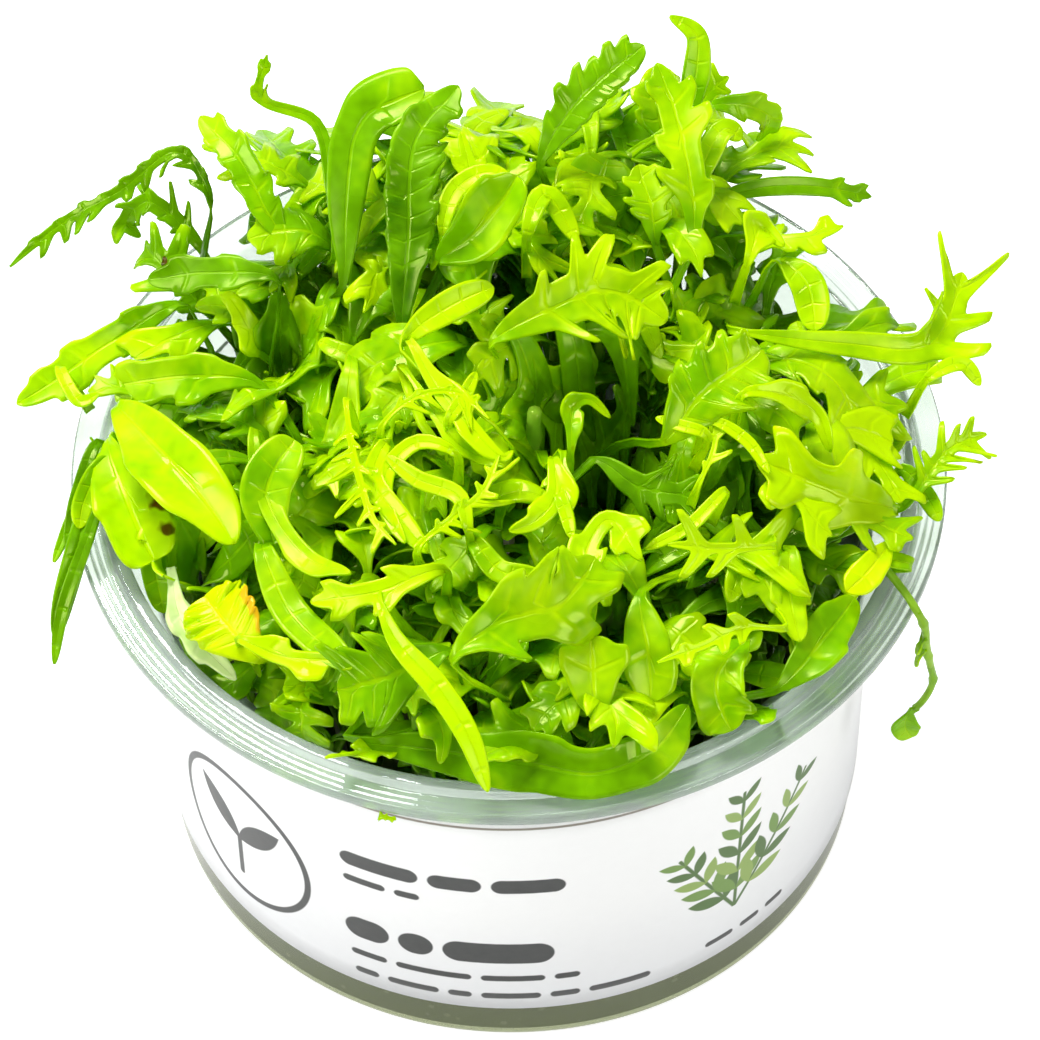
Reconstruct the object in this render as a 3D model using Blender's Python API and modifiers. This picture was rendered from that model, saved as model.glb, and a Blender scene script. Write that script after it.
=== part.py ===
"""A clear round culture cup, filled with a crop of lobed, bright green water plant leaves.

Metres, +Z up. The origin is the middle of the cup's flat base, -Y is the front of the label.
"""

import itertools
import math

import bmesh
import bpy
import numpy as np
from mathutils import Vector
from mathutils.bvhtree import BVHTree

MM = 0.001
GAP = 0.3 * MM

# the cup
CUP_HEIGHT = 56.0 * MM
CUP_STEPS = 36
WALL = 1.2 * MM
WALL_LOW_RADIUS = 40.8 * MM
WALL_TOP_RADIUS = 41.8 * MM
BASE_EDGE_RADIUS = 1.5 * MM
FLOOR = 1.0 * MM
SHOULDER_LOW = 48.6 * MM
SHOULDER_TOP = 51.0 * MM
COLLAR_RADIUS = 46.2 * MM
FLANGE_RADIUS = 50.0 * MM
FLANGE_TOP = 55.5 * MM
FLANGE_THICKNESS = 1.1 * MM
BEAD_OUTER_RADIUS = 46.9 * MM

# the label and the gel
LABEL_LOW = 6.9 * MM
LABEL_TOP = 44.0 * MM
LABEL_THICKNESS = 0.3 * MM
LABEL_OPEN_DEG = 9.0
LABEL_SEGMENTS = 48
GEL_TOP = 14.0 * MM

# the stems, each with its pairs of small side leaves: foot on the gel (x, y), top (x, y, z), in millimetres
STEM_RADIUS = 1.3 * MM
STEM_POINTS = 5
STEM_LEAN = 0.3  # share of a stem's lean that its middle has
TUBE_RESOLUTION = 1
PAIRS = 4
PAIR_SPACING = 7.5 * MM
TOP_PAIR_BELOW_TIP = 5.0 * MM
SIDE_LEAF_REACH = 12.5 * MM
SIDE_LEAF_HALF = 3.6 * MM
SIDE_LEAF_RISE = 7.0 * MM
SIDE_LEAF_ROWS = ((0.05, 0.17), (0.6, 1.0), (1.0, 0.3))  # share of the reach, share of the half width
FIRST_PAIR_DEG = -30
NEXT_STEM_DEG = 35
STEMS = {
    "stem_middle": ((1, -2), (3, -3, 69)),
    "stem_back_left": ((-19, 12), (-24, 17, 65)),
    "stem_back": ((-2, 19), (-6, 27, 74)),
    "stem_back_right": ((20, 12), (25, 14, 68)),
    "stem_front_right": ((21, -12), (26, -16, 63)),
    "stem_front": ((0, -24), (-3, -28, 61)),
    "stem_left": ((-22, -8), (-28, -6, 62)),
}
HANGING_RADIUS = 0.8 * MM
HANGING_POINTS = 14
HANGING_ROUTE = [
    (28, -16, 56), (36, -15.5, 58.3), (41.5, -17.5, 58.6), (43.8, -20.5, 58.3), (45.4, -22.9, 57.3),
    (46.4, -23, 54.5), (46.8, -22.6, 50.5), (47.5, -21.6, 45.5), (48, -21, 42), (47.6, -20.9, 39.6),
    (46.6, -20.9, 37.2),
]

# the leaves
LEAF_THICKNESS = 0.8 * MM
LEAF_MARGIN = 1.1 * MM
PETIOLE_HALF = 0.6 * MM
TIP_HALF = 0.25 * MM
FOLD = 0.22
FORWARD_SWEEP = 0.55
ROOT_PITCH = 3.3 * MM
ROOT_CLEARANCE = 0.3 * MM
SINK_STEP = 0.6 * MM
MOST_SINK_STEPS = 14
ROOT_DROPS = (1.5 * MM, 3.5 * MM, 5.5 * MM, 8.5 * MM, 12 * MM)
ROOT_TURNS_DEG = (0, 40, -40, 80, -80, 120, -120)
BEND_REACHES = (2 * MM, 4 * MM, 6 * MM, 9 * MM)
BEND_TURNS_DEG = (0, 180, 60, 240, 120, 300)
PETIOLE_ROWS = 2
BASE_SHARE = 0.5
WIDEST = 0.45
ROUTE_POINTS = 80

# the side that a blade turns to
EYE = Vector((0, -0.63, 0.78))
BACK = Vector((0, 0.55, 0.83))

# Each leaf: name, stem, half width, lobes a side, depth of the notches, side it faces,
# and the points that its midrib passes above the clump, all in millimetres.
LEAVES = [
    ("leaf_front_rim", "stem_front", 3.4, 2, 0.2, EYE,
     [(-18.5, -40.5, 59), (-8, -42.5, 58.5), (3, -44.5, 58.2), (12.5, -45.5, 58.4), (19.5, -38, 60)]),
    ("leaf_front_broad", "stem_front", 4.4, 4, 0.3, EYE,
     [(-6.5, -33.5, 64.5), (-13.5, -36.5, 64), (-19, -38, 63.5)]),
    ("leaf_front_strap", "stem_front", 1.3, 0, 0, EYE,
     [(-14.5, -29, 69), (-12.5, -34.5, 68), (-8, -39.5, 66), (-4.5, -44.5, 63), (-2.5, -48.5, 59)]),
    ("leaf_front_glossy", "stem_front", 3.8, 2, 0.4, EYE,
     [(-6.5, -36, 66), (-1, -32, 68), (5.5, -30.5, 69), (9.5, -25, 70)]),
    ("leaf_front_triangle", "stem_front", 4.4, 1, 0.2, EYE,
     [(9.5, -40.5, 61), (9, -37.5, 64), (9, -33.5, 67)]),
    ("leaf_front_right_glossy", "stem_front_right", 3.4, 1, 0.2, EYE,
     [(14.5, -27.5, 67), (15, -33.5, 65), (15.5, -38, 61)]),
    ("leaf_finger_right", "stem_front_right", 1.8, 3, 0.6, EYE,
     [(30.5, -29.5, 63), (25.5, -31, 65), (21, -33.5, 65), (16, -35.5, 65)]),
    ("leaf_star_right", "stem_front_right", 2.4, 3, 0.6, EYE,
     [(29.5, -21, 67), (22.5, -23, 69), (17.5, -23, 70)]),
    ("leaf_yellow_curl_right", "stem_front_right", 2.2, 1, 0.2, EYE,
     [(42.5, -16.5, 61.5), (40.5, -20.5, 62.5), (37.5, -24, 62)]),
    ("leaf_yellow_right", "stem_front_right", 4.4, 2, 0.45, EYE,
     [(43.5, -12, 61.5), (39, -13.5, 65.5), (33, -13.5, 69), (27.5, -12, 71)]),
    ("leaf_curly_right", "stem_front_right", 1.1, 3, 0.6, EYE,
     [(44.5, -10, 60), (49.5, -4.5, 63), (54, -2, 63)]),
    ("leaf_broad_low_right", "stem_front_right", 3.6, 2, 0.25, EYE,
     [(26, -30.5, 62), (22.5, -36, 62), (24, -40, 58)]),
    ("leaf_rim_right", "stem_front_right", 3.0, 1, 0.2, EYE,
     [(29, -34.5, 58), (34, -29, 59), (38.5, -22.5, 59)]),
    ("leaf_strap_centre", "stem_middle", 1.2, 2, 0.5, EYE,
     [(-12, 0, 74), (-8.5, -6.5, 74), (-6, -10.5, 73), (-0.5, -12, 70)]),
    ("leaf_star_centre", "stem_middle", 2.6, 2, 0.7, EYE,
     [(6, -10.5, 71), (5.5, -16.5, 70), (4, -20.5, 68)]),
    ("leaf_spoon_centre", "stem_middle", 1.7, 0, 0, EYE,
     [(-12, 1, 75), (-7.5, 4, 78), (-1.5, 7, 79)]),
    ("leaf_lobed_centre", "stem_middle", 4.6, 3, 0.5, EYE,
     [(-2, 1.5, 75), (6, 5, 78), (11.5, 7, 78), (18, 5, 75)]),
    ("leaf_broad_centre_right", "stem_middle", 5.2, 3, 0.3, EYE,
     [(17.5, -10, 72), (21.5, -6, 75), (28.5, -0.5, 76)]),
    ("leaf_green_centre", "stem_middle", 2.4, 3, 0.4, EYE,
     [(9.5, -9, 67.5), (14.5, -12.5, 67), (20.5, -14, 67)]),
    ("leaf_curly_centre", "stem_front", 1.2, 4, 0.5, EYE,
     [(-7, -8, 72), (-14, -7.5, 71), (-15.5, -12, 70), (-12, -17.5, 67)]),
    ("leaf_oval_left", "stem_left", 2.8, 0, 0, EYE,
     [(-26, -19, 64), (-27, -13, 68), (-24, -7.5, 70)]),
    ("leaf_low_left", "stem_left", 3.2, 2, 0.4, EYE,
     [(-45, 0, 62), (-43, -9.5, 62), (-40, -16, 59)]),
    ("leaf_big_left", "stem_left", 3.8, 2, 0.3, EYE,
     [(-44.5, 3.5, 63), (-39, -5.5, 66), (-34.5, -12, 66), (-30.5, -17.5, 64)]),
    ("leaf_veined_left", "stem_left", 3.2, 3, 0.3, EYE,
     [(-28, 3, 67), (-35.5, 4.5, 67), (-45.5, 6.5, 63)]),
    ("leaf_trailing_left", "stem_left", 1.4, 1, 0.2, EYE,
     [(-46, -5, 60), (-48.5, -13, 58.5), (-51.5, -20.5, 51)]),
    ("leaf_tip_left", "stem_left", 2.9, 3, 0.3, EYE,
     [(-36.5, 17.5, 64), (-45, 12.5, 64), (-51, 9, 62), (-56, 5.5, 61)]),
    ("leaf_yellow_left", "stem_left", 3.0, 0, 0, EYE,
     [(-27.5, -31, 60), (-30.5, -28.5, 62), (-34, -23.5, 62)]),
    ("leaf_fan_right", "stem_back_right", 6.0, 4, 0.5, EYE,
     [(25.5, 6, 72), (38.5, 5.5, 70), (48, 7, 68), (52, 15, 71)]),
    ("leaf_tongue_right", "stem_back_right", 1.9, 0, 0, EYE,
     [(30.5, 15.5, 73), (34, 12, 73), (35, 7.5, 70)]),
    ("leaf_long_dark_right", "stem_back_right", 1.9, 2, 0.25, EYE,
     [(21.5, 21.5, 74), (27.5, 23.5, 76), (34, 25, 75), (42, 27, 71)]),
    ("leaf_upright_lobed", "stem_back_right", 3.2, 2, 0.4, EYE,
     [(17, 16.5, 75), (16.5, 19.5, 78), (15, 24, 80)]),
    ("leaf_stalk_back_right", "stem_back_right", 3.6, 3, 0.3, EYE,
     [(21, 16.5, 74), (21, 22, 79), (19.5, 28, 83), (17.5, 34, 86)]),
    ("leaf_star_top_right", "stem_back_right", 2.4, 2, 0.6, EYE,
     [(21, 29.5, 80), (23, 32.5, 82), (25.5, 34, 84)]),
    ("leaf_square_top_right", "stem_back_right", 2.3, 1, 0.2, EYE,
     [(22.5, 33, 79), (27, 34, 79), (30.5, 34.5, 76), (29, 33, 74)]),
    ("leaf_hook_top_right", "stem_back_right", 1.5, 0, 0, EYE,
     [(21, 28, 82), (21.5, 32, 86), (22.5, 34.5, 89), (19, 37, 91)]),
    ("leaf_tall_serrated", "stem_back", 3.4, 6, 0.35, EYE,
     [(-11.5, 6, 72), (-11, 13, 80), (-10, 23, 86), (-5, 29, 88)]),
    ("leaf_folded_back", "stem_back", 4.4, 2, 0.2, EYE,
     [(-7.5, 14, 75), (-3.5, 14.5, 79), (-0.5, 16.5, 82), (1.5, 18.5, 84)]),
    ("leaf_oval_dark_back", "stem_back", 3.8, 0, 0, EYE,
     [(10, 18, 74), (10.5, 21.5, 78), (11.5, 24.5, 81)]),
    ("leaf_serrated_back", "stem_back", 2.9, 5, 0.3, EYE,
     [(4, 22.5, 82), (7.5, 27, 86), (12, 31, 88), (16, 34, 89)]),
    ("leaf_broad_back_left", "stem_back_left", 5.0, 3, 0.35, EYE,
     [(-18.5, 12.5, 73), (-18, 19.5, 80), (-16, 27, 85), (-9, 29.5, 87)]),
    ("leaf_lance_left", "stem_back_left", 3.4, 4, 0.25, EYE,
     [(-24.5, 18, 71), (-27.5, 22, 76), (-30.5, 27, 79), (-35, 33, 79)]),
    ("leaf_curl_tip_back", "stem_back_left", 1.2, 0, 0, EYE,
     [(-19.5, 16.5, 73), (-20, 22.5, 80), (-22, 29, 84), (-25, 30.5, 86), (-29, 29.5, 86),
      (-29.5, 31, 89), (-27, 32.5, 90)]),
    ("leaf_fern_left", "stem_back_left", 2.1, 7, 0.6, EYE,
     [(-35, 24.5, 65), (-34, 27.5, 71), (-37.5, 32.5, 74), (-44.5, 29, 71), (-51, 28, 67),
      (-57.5, 24, 64)]),
    ("leaf_dark_left", "stem_back_left", 2.4, 3, 0.3, EYE,
     [(-26, 19, 66), (-33.5, 20.5, 66), (-41, 22, 63)]),
    ("leaf_back_rim_left", "stem_back_left", 3.4, 4, 0.4, BACK,
     [(-20, 26, 66), (-25, 38, 65), (-29, 49, 59)]),
    ("leaf_back_rim_middle", "stem_back", 4.0, 4, 0.4, BACK,
     [(-2, 29, 69), (-2, 41, 67), (0, 52, 60)]),
    ("leaf_back_rim_right", "stem_back_right", 3.6, 3, 0.35, BACK,
     [(19, 26, 67), (26, 37, 65), (33, 46, 59)]),
    ("leaf_back_trailing", "stem_back", 1.8, 3, 0.5, BACK,
     [(8, 30, 65), (12, 44, 62), (14.5, 53, 57), (15.5, 56, 47)]),
]
HANGING_LEAF_ROOT = (46.1, -20.9, 36.7)
HANGING_LEAF = ("leaf_hanging_end", 1.9, [(45.4, -20.8, 35.2), (45.1, -20.7, 33.4), (45.9, -20.5, 30.6)])


def clear_scene():
    """Removes what the startup scene holds."""
    for obj in list(bpy.data.objects):
        bpy.data.objects.remove(obj, do_unlink=True)


def make_material(name, colour, roughness, transmission=0.0):
    material = bpy.data.materials.new(name)
    material.use_nodes = True
    shader = material.node_tree.nodes["Principled BSDF"]
    shader.inputs["Base Color"].default_value = (*colour, 1.0)
    shader.inputs["Roughness"].default_value = roughness
    shader.inputs["Metallic"].default_value = 0.0
    shader.inputs["Transmission Weight"].default_value = transmission
    return material


def add_object(name, data, material, collection):
    obj = bpy.data.objects.new(name, data)
    obj.data.materials.append(material)
    collection.objects.link(obj)
    return obj


def turned(name, profile, material, collection):
    """A closed round piece: the (radius, height) profile turned about Z."""
    mesh = bpy.data.meshes.new(name)
    points = [(radius, 0.0, height) for radius, height in profile]
    edges = [(i, i + 1) for i in range(len(points) - 1)]
    mesh.from_pydata(points, edges, [])
    obj = add_object(name, mesh, material, collection)
    screw = obj.modifiers.new("Turn", "SCREW")
    screw.steps = CUP_STEPS
    screw.render_steps = CUP_STEPS
    screw.use_merge_vertices = True
    screw.merge_threshold = 0.01 * MM
    screw.use_smooth_shade = True
    return obj


def wall_radius(height):
    """The outer radius of the slightly tapered wall."""
    share = height / SHOULDER_LOW
    return WALL_LOW_RADIUS + (WALL_TOP_RADIUS - WALL_LOW_RADIUS) * share


def base_edge(radius, low, corner, steps=3):
    """Points of the rounded edge at the foot of a wall, from the wall to the flat base."""
    turns = np.linspace(0, math.pi / 2, steps)
    return [(radius - corner + corner * math.cos(a), low + corner - corner * math.sin(a)) for a in turns]


def make_cup(collection):
    inner_edge = base_edge(WALL_LOW_RADIUS - WALL, FLOOR, BASE_EDGE_RADIUS * 0.6)
    collar_inner = COLLAR_RADIUS - WALL
    flange_low = FLANGE_TOP - FLANGE_THICKNESS
    profile = [(0.0, FLOOR)]
    profile += inner_edge[::-1]
    profile += [
        (WALL_TOP_RADIUS - WALL, SHOULDER_LOW + 0.4 * MM),
        (collar_inner, SHOULDER_TOP + 0.4 * MM),
        (collar_inner, CUP_HEIGHT - 0.3 * MM),
        (collar_inner + 0.4 * MM, CUP_HEIGHT),
        (BEAD_OUTER_RADIUS - 0.4 * MM, CUP_HEIGHT),
        (BEAD_OUTER_RADIUS, FLANGE_TOP),
        (FLANGE_RADIUS - 0.3 * MM, FLANGE_TOP),
        (FLANGE_RADIUS, FLANGE_TOP - 0.3 * MM),
        (FLANGE_RADIUS, flange_low + 0.2 * MM),
        (FLANGE_RADIUS - 0.2 * MM, flange_low),
        (COLLAR_RADIUS, flange_low),
        (COLLAR_RADIUS, SHOULDER_TOP),
        (WALL_TOP_RADIUS, SHOULDER_LOW),
    ]
    profile += base_edge(WALL_LOW_RADIUS, 0.0, BASE_EDGE_RADIUS)
    profile.append((0.0, 0.0))
    return turned("cup", profile, make_material("clear_plastic", (0.85, 0.93, 0.88), 0.06, 0.9), collection)


def make_gel(collection):
    low = FLOOR + GAP
    top_radius = wall_radius(GEL_TOP) - WALL - GAP
    low_edge = base_edge(WALL_LOW_RADIUS - WALL - GAP, low, BASE_EDGE_RADIUS * 0.6)
    profile = [(0.0, GEL_TOP), (top_radius, GEL_TOP)] + low_edge + [(0.0, low)]
    return turned("gel", profile, make_material("nutrient_gel", (0.24, 0.27, 0.10), 0.25), collection)


def make_label(collection):
    """A thin sheet bent round the wall, open for a few degrees at the back."""
    bm = bmesh.new()
    bmesh.ops.create_grid(bm, x_segments=LABEL_SEGMENTS, y_segments=1, size=1.0)
    half_wrap = math.radians(180 - LABEL_OPEN_DEG / 2)
    for vert in bm.verts:
        around = vert.co.x * half_wrap - math.pi / 2
        height = LABEL_LOW + (vert.co.y + 1) / 2 * (LABEL_TOP - LABEL_LOW)
        radius = wall_radius(height) + GAP + LABEL_THICKNESS / 2
        vert.co = (radius * math.cos(around), radius * math.sin(around), height)
    mesh = bpy.data.meshes.new("label")
    bm.to_mesh(mesh)
    bm.free()
    mesh.shade_smooth()
    obj = add_object("label", mesh, make_material("label_paper", (0.9, 0.9, 0.92), 0.4), collection)
    add_thickness(obj, LABEL_THICKNESS)
    return obj


def add_thickness(obj, thickness):
    solidify = obj.modifiers.new("Thickness", "SOLIDIFY")
    solidify.thickness = thickness
    solidify.offset = 0.0


def smooth_route(points, count):
    """Evenly spaced points on a smooth curve through the given ones (centripetal Catmull-Rom)."""
    points = np.asarray(points, float)
    knots = np.concatenate([[0], np.cumsum(np.linalg.norm(np.diff(points, axis=0), axis=1) ** 0.5)])
    steps = np.diff(knots)[:, None]
    slopes = np.diff(points, axis=0) / steps
    inner = (slopes[:-1] * steps[1:] + slopes[1:] * steps[:-1]) / (steps[:-1] + steps[1:])
    tangents = np.vstack([slopes[:1], inner, slopes[-1:]])
    at = np.linspace(0, knots[-1], 12 * len(points))
    piece = np.clip(np.searchsorted(knots, at, side="right") - 1, 0, len(points) - 2)
    step = steps[piece]
    s = ((at - knots[piece]) / step[:, 0])[:, None]
    dense = (
        (2 * s**3 - 3 * s**2 + 1) * points[piece]
        + (s**3 - 2 * s**2 + s) * step * tangents[piece]
        + (3 * s**2 - 2 * s**3) * points[piece + 1]
        + (s**3 - s**2) * step * tangents[piece + 1]
    )
    run = np.concatenate([[0], np.cumsum(np.linalg.norm(np.diff(dense, axis=0), axis=1))])
    even = np.linspace(0, run[-1], count)
    return np.stack([np.interp(even, run, dense[:, axis]) for axis in range(3)], axis=1)


def make_tube(name, route, radius, material, collection):
    """A round stem: a curve with a bevel and filled ends, made a mesh with its end caps welded on."""
    curve = bpy.data.curves.new(name + "_route", "CURVE")
    curve.dimensions = "3D"
    curve.bevel_depth = radius
    curve.bevel_resolution = TUBE_RESOLUTION
    curve.use_fill_caps = True
    spline = curve.splines.new("POLY")
    spline.points.add(len(route) - 1)
    for point, place in zip(spline.points, route):
        point.co = (*place, 1.0)
    guide = bpy.data.objects.new(name + "_route", curve)
    collection.objects.link(guide)
    graph = bpy.context.evaluated_depsgraph_get()
    mesh = bpy.data.meshes.new_from_object(guide.evaluated_get(graph))
    bpy.data.objects.remove(guide, do_unlink=True)
    mesh.name = name
    bm = bmesh.new()
    bm.from_mesh(mesh)
    bmesh.ops.remove_doubles(bm, verts=bm.verts, dist=0.01 * MM)
    bm.to_mesh(mesh)
    bm.free()
    mesh.shade_smooth()
    mesh.materials.clear()
    return add_object(name, mesh, material, collection)


def stem_route(stem):
    (foot_x, foot_y), top = STEMS[stem]
    foot = np.array([foot_x, foot_y, (GEL_TOP + GAP) / MM])
    top = np.array(top, float)
    middle = (foot + top) / 2
    middle[:2] = foot[:2] * (1 - STEM_LEAN) + top[:2] * STEM_LEAN
    return smooth_route(np.array([foot, middle, top]) * MM, STEM_POINTS)


def side_leaf_sheet(stem, pair, side):
    """A small flat leaf that rises from the stem's axis: each pair stands square to the one above."""
    route = stem_route(stem)
    height = route[-1][2] - TOP_PAIR_BELOW_TIP - pair * PAIR_SPACING
    axis = np.array([np.interp(height, route[:, 2], route[:, k]) for k in range(3)])
    first_turn = math.radians(FIRST_PAIR_DEG + NEXT_STEM_DEG * list(STEMS).index(stem))
    around = first_turn + pair * math.pi / 2 + side * math.pi
    out = np.array([math.cos(around), math.sin(around), 0])
    across = np.array([-math.sin(around), math.cos(around), 0])
    rows = []
    for share, width in SIDE_LEAF_ROWS:
        middle = axis + out * SIDE_LEAF_REACH * share + np.array([0, 0, SIDE_LEAF_RISE * share**0.7])
        rows.append([middle - across * SIDE_LEAF_HALF * width, middle + across * SIDE_LEAF_HALF * width])
    return np.array(rows)


def make_shoot(stem, material, collection, helpers):
    """A stem with its side leaves grown from it, as one solid."""
    shoot = make_tube(stem, stem_route(stem), STEM_RADIUS, material, collection)
    side_leaves = bpy.data.collections.new(stem + "_side_leaves")
    helpers.children.link(side_leaves)
    for pair in range(PAIRS):
        for side in range(2):
            name = f"{stem}_side_leaf_{pair}_{side}"
            leaf = sheet_object(name, side_leaf_sheet(stem, pair, side), material, side_leaves)
            leaf.hide_render = True
            leaf.display_type = "WIRE"
    union = shoot.modifiers.new("Side leaves", "BOOLEAN")
    union.operation = "UNION"
    union.operand_type = "COLLECTION"
    union.collection = side_leaves
    return shoot


def blade_stations(lobes):
    """Places along a blade from 0 to 1: the petiole end, each lobe and notch in turn, and the tip."""
    return np.linspace(0, 1, 2 * lobes + 3) if lobes else np.linspace(0, 1, 5)


def blade_outline(stations, half_width, lobes, depth):
    """The half width at each station: a rounded blade whose margin steps in at every second station."""
    rise = np.clip(stations / WIDEST, 0, 1)
    fall = np.clip((stations - WIDEST) / (1 - WIDEST), 0, 1)
    outline = np.sin(rise * math.pi / 2) ** 0.7 * np.sqrt(1 - fall**2.4)
    notched = (np.arange(len(stations)) % 2 == 0) & (lobes > 0)
    outline = np.where(notched, outline * (1 - depth), outline)
    outline = np.maximum(outline, BASE_SHARE * (1 - rise))
    return np.maximum(outline * half_width, np.where(stations > 0.99, TIP_HALF, PETIOLE_HALF))


def leaf_sheet(petiole, points, half_width, lobes, depth, facing):
    """Rows of three points, left edge, midrib and right edge, from the root of the petiole to the tip.

    The edges are the midrib plus and minus the half width across it, swept towards the tip and folded
    up a little.
    """
    points = np.asarray(points, float)
    route = smooth_route(np.vstack([petiole, points]), ROUTE_POINTS)
    run = np.concatenate([[0], np.cumsum(np.linalg.norm(np.diff(route, axis=0), axis=1))])
    start = run[np.linalg.norm(route - points[0], axis=1).argmin()]
    blade = blade_stations(lobes)
    outline = blade_outline(blade, half_width, lobes, depth)
    along_petiole = np.linspace(0, start, PETIOLE_ROWS, endpoint=False)
    at = np.concatenate([along_petiole, start + blade * (run[-1] - start)])
    taper = np.linspace(PETIOLE_HALF, outline[0], PETIOLE_ROWS, endpoint=False)
    half = np.concatenate([taper, outline])
    # Solid ends need some length, so the edges of the last row are not swept.
    sweep = np.where(np.arange(len(at)) < len(at) - 2, FORWARD_SWEEP * (half - PETIOLE_HALF), 0)
    chord = points[-1] - points[0]
    across = np.cross(chord, facing)
    across /= np.linalg.norm(across)
    ribs = []
    for place in (at, at + np.maximum(sweep, 0)):
        rib = np.stack([np.interp(place, run, route[:, axis]) for axis in range(3)], axis=1)
        ribs.append(rib)
    tangent = np.gradient(ribs[0], axis=0)
    tangent /= np.linalg.norm(tangent, axis=1)[:, None]
    side = across - (tangent @ across)[:, None] * tangent
    side /= np.linalg.norm(side, axis=1)[:, None]
    normal = np.cross(side, tangent)
    lift = FOLD * half[:, None] * normal
    left = ribs[1] - side * half[:, None] + lift
    right = ribs[1] + side * half[:, None] + lift
    return np.stack([left, ribs[0], right], axis=1), normal


def sheet_faces(rows):
    """The quads of a sheet of rows of three points."""
    index = np.arange(rows * 3).reshape(rows, 3)
    corners = [index[:-1, :-1], index[1:, :-1], index[1:, 1:], index[:-1, 1:]]
    return np.stack([corner.ravel() for corner in corners], axis=1)


def tree_of(points, faces):
    return BVHTree.FromPolygons([Vector(p) for p in points.reshape(-1, 3)], faces.tolist())


def grown(sheet, margin):
    """The same sheet, wider by the margin on both sides and longer by it at both ends."""
    rib = sheet[:, 1]
    out = sheet - rib[:, None]
    length = np.linalg.norm(out, axis=2, keepdims=True)
    wider = sheet + out / np.maximum(length, 1e-9) * margin
    for end, inside in ((0, 1), (-1, -2)):
        along = rib[end] - rib[inside]
        wider[end] += along / np.linalg.norm(along) * margin
    return wider


def shell_tree(sheet, normal, margin, first_row=0):
    """The closed skin that lies a margin away from a sheet on all sides, to find what comes too near."""
    sheet = grown(sheet[first_row:], margin - LEAF_THICKNESS / 2)
    normal = normal[first_row:, None, :]
    rows = len(sheet)
    upper = (sheet + normal * margin).reshape(-1, 3)
    lower = (sheet - normal * margin).reshape(-1, 3)
    faces = sheet_faces(rows)
    index = np.arange(rows * 3).reshape(rows, 3)
    loop = np.concatenate([index[0], index[1:, 2], index[-1, 1::-1], index[-2:0:-1, 0]])
    following = np.roll(loop, -1)
    count = rows * 3
    rim = np.stack([loop, following, following + count, loop + count], axis=1)
    faces = np.concatenate([faces, faces + count, rim])
    return tree_of(np.concatenate([upper, lower]), faces)


def object_tree(obj):
    graph = bpy.context.evaluated_depsgraph_get()
    evaluated = obj.evaluated_get(graph)
    mesh = evaluated.to_mesh()
    points = [vert.co.copy() for vert in mesh.vertices]
    faces = [tuple(face.vertices) for face in mesh.polygons]
    evaluated.to_mesh_clear()
    return BVHTree.FromPolygons(points, faces)


def root_on_stem(stem, drop, towards, turn_deg):
    """Where a petiole leaves its stem, a drop below the tip."""
    route = stem_route(stem)
    height = route[-1][2] - drop
    axis = np.array([np.interp(height, route[:, 2], route[:, k]) for k in range(3)])
    away = towards[:2] - axis[:2]
    around = math.atan2(away[1], away[0]) + math.radians(turn_deg)
    reach = STEM_RADIUS + GAP + LEAF_THICKNESS / 2 + ROOT_CLEARANCE
    return axis + reach * np.array([math.cos(around), math.sin(around), 0])


def petiole_bends(root, first):
    """Points for the middle of a petiole to pass: straight first, then ever further out all round."""
    middle = (root + first) / 2
    chord = first - root
    across = np.cross(chord, (0, 0, 1))
    across /= max(np.linalg.norm(across), 1e-9)
    other = np.cross(chord, across)
    other /= max(np.linalg.norm(other), 1e-9)
    yield middle
    for reach in BEND_REACHES:
        for around in np.radians(BEND_TURNS_DEG):
            yield middle + reach * (math.cos(around) * across + math.sin(around) * other)


def lay_leaf(entry, order, laid, others):
    """The sheet of one leaf, moved along the line of sight by the least that clears all that lies there."""
    name, stem, half_width, lobes, depth, facing, points = entry
    points = np.array(points, float) * MM
    facing = np.array(facing)
    for step in range(2 * MOST_SINK_STEPS):
        sink = SINK_STEP * ((step + 1) // 2) * (1 if step % 2 else -1)
        moved = points - sink * np.array(EYE)
        for drop, turn in itertools.product(ROOT_DROPS, ROOT_TURNS_DEG):
            root = root_on_stem(stem, order * ROOT_PITCH + drop, moved[0], turn)
            for bend in petiole_bends(root, moved[0]):
                sheet, normal = leaf_sheet([root, bend], moved, half_width * MM, lobes, depth, facing)
                blade = shell_tree(sheet, normal, LEAF_MARGIN, first_row=PETIOLE_ROWS)
                if any(blade.overlap(tree) for tree in laid):
                    break
                skin = shell_tree(sheet, normal, LEAF_MARGIN)
                if any(skin.overlap(tree) for tree in laid):
                    continue
                thin_skin = shell_tree(sheet, normal, LEAF_THICKNESS / 2 + GAP)
                if any(thin_skin.overlap(tree) for tree in others):
                    continue
                return sheet, sink
    raise ValueError(f"{name} finds no room")


def sheet_object(name, sheet, material, collection):
    """A leaf as an open sheet with a thickness."""
    rows, columns = sheet.shape[:2]
    bm = bmesh.new()
    bmesh.ops.create_grid(bm, x_segments=columns - 1, y_segments=rows - 1, size=1.0)
    for vert in bm.verts:
        row = round((vert.co.y + 1) / 2 * (rows - 1))
        column = round((vert.co.x + 1) / 2 * (columns - 1))
        vert.co = sheet[row, column]
    mesh = bpy.data.meshes.new(name)
    bm.to_mesh(mesh)
    bm.free()
    mesh.shade_smooth()
    obj = add_object(name, mesh, material, collection)
    add_thickness(obj, LEAF_THICKNESS)
    return obj


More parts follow.
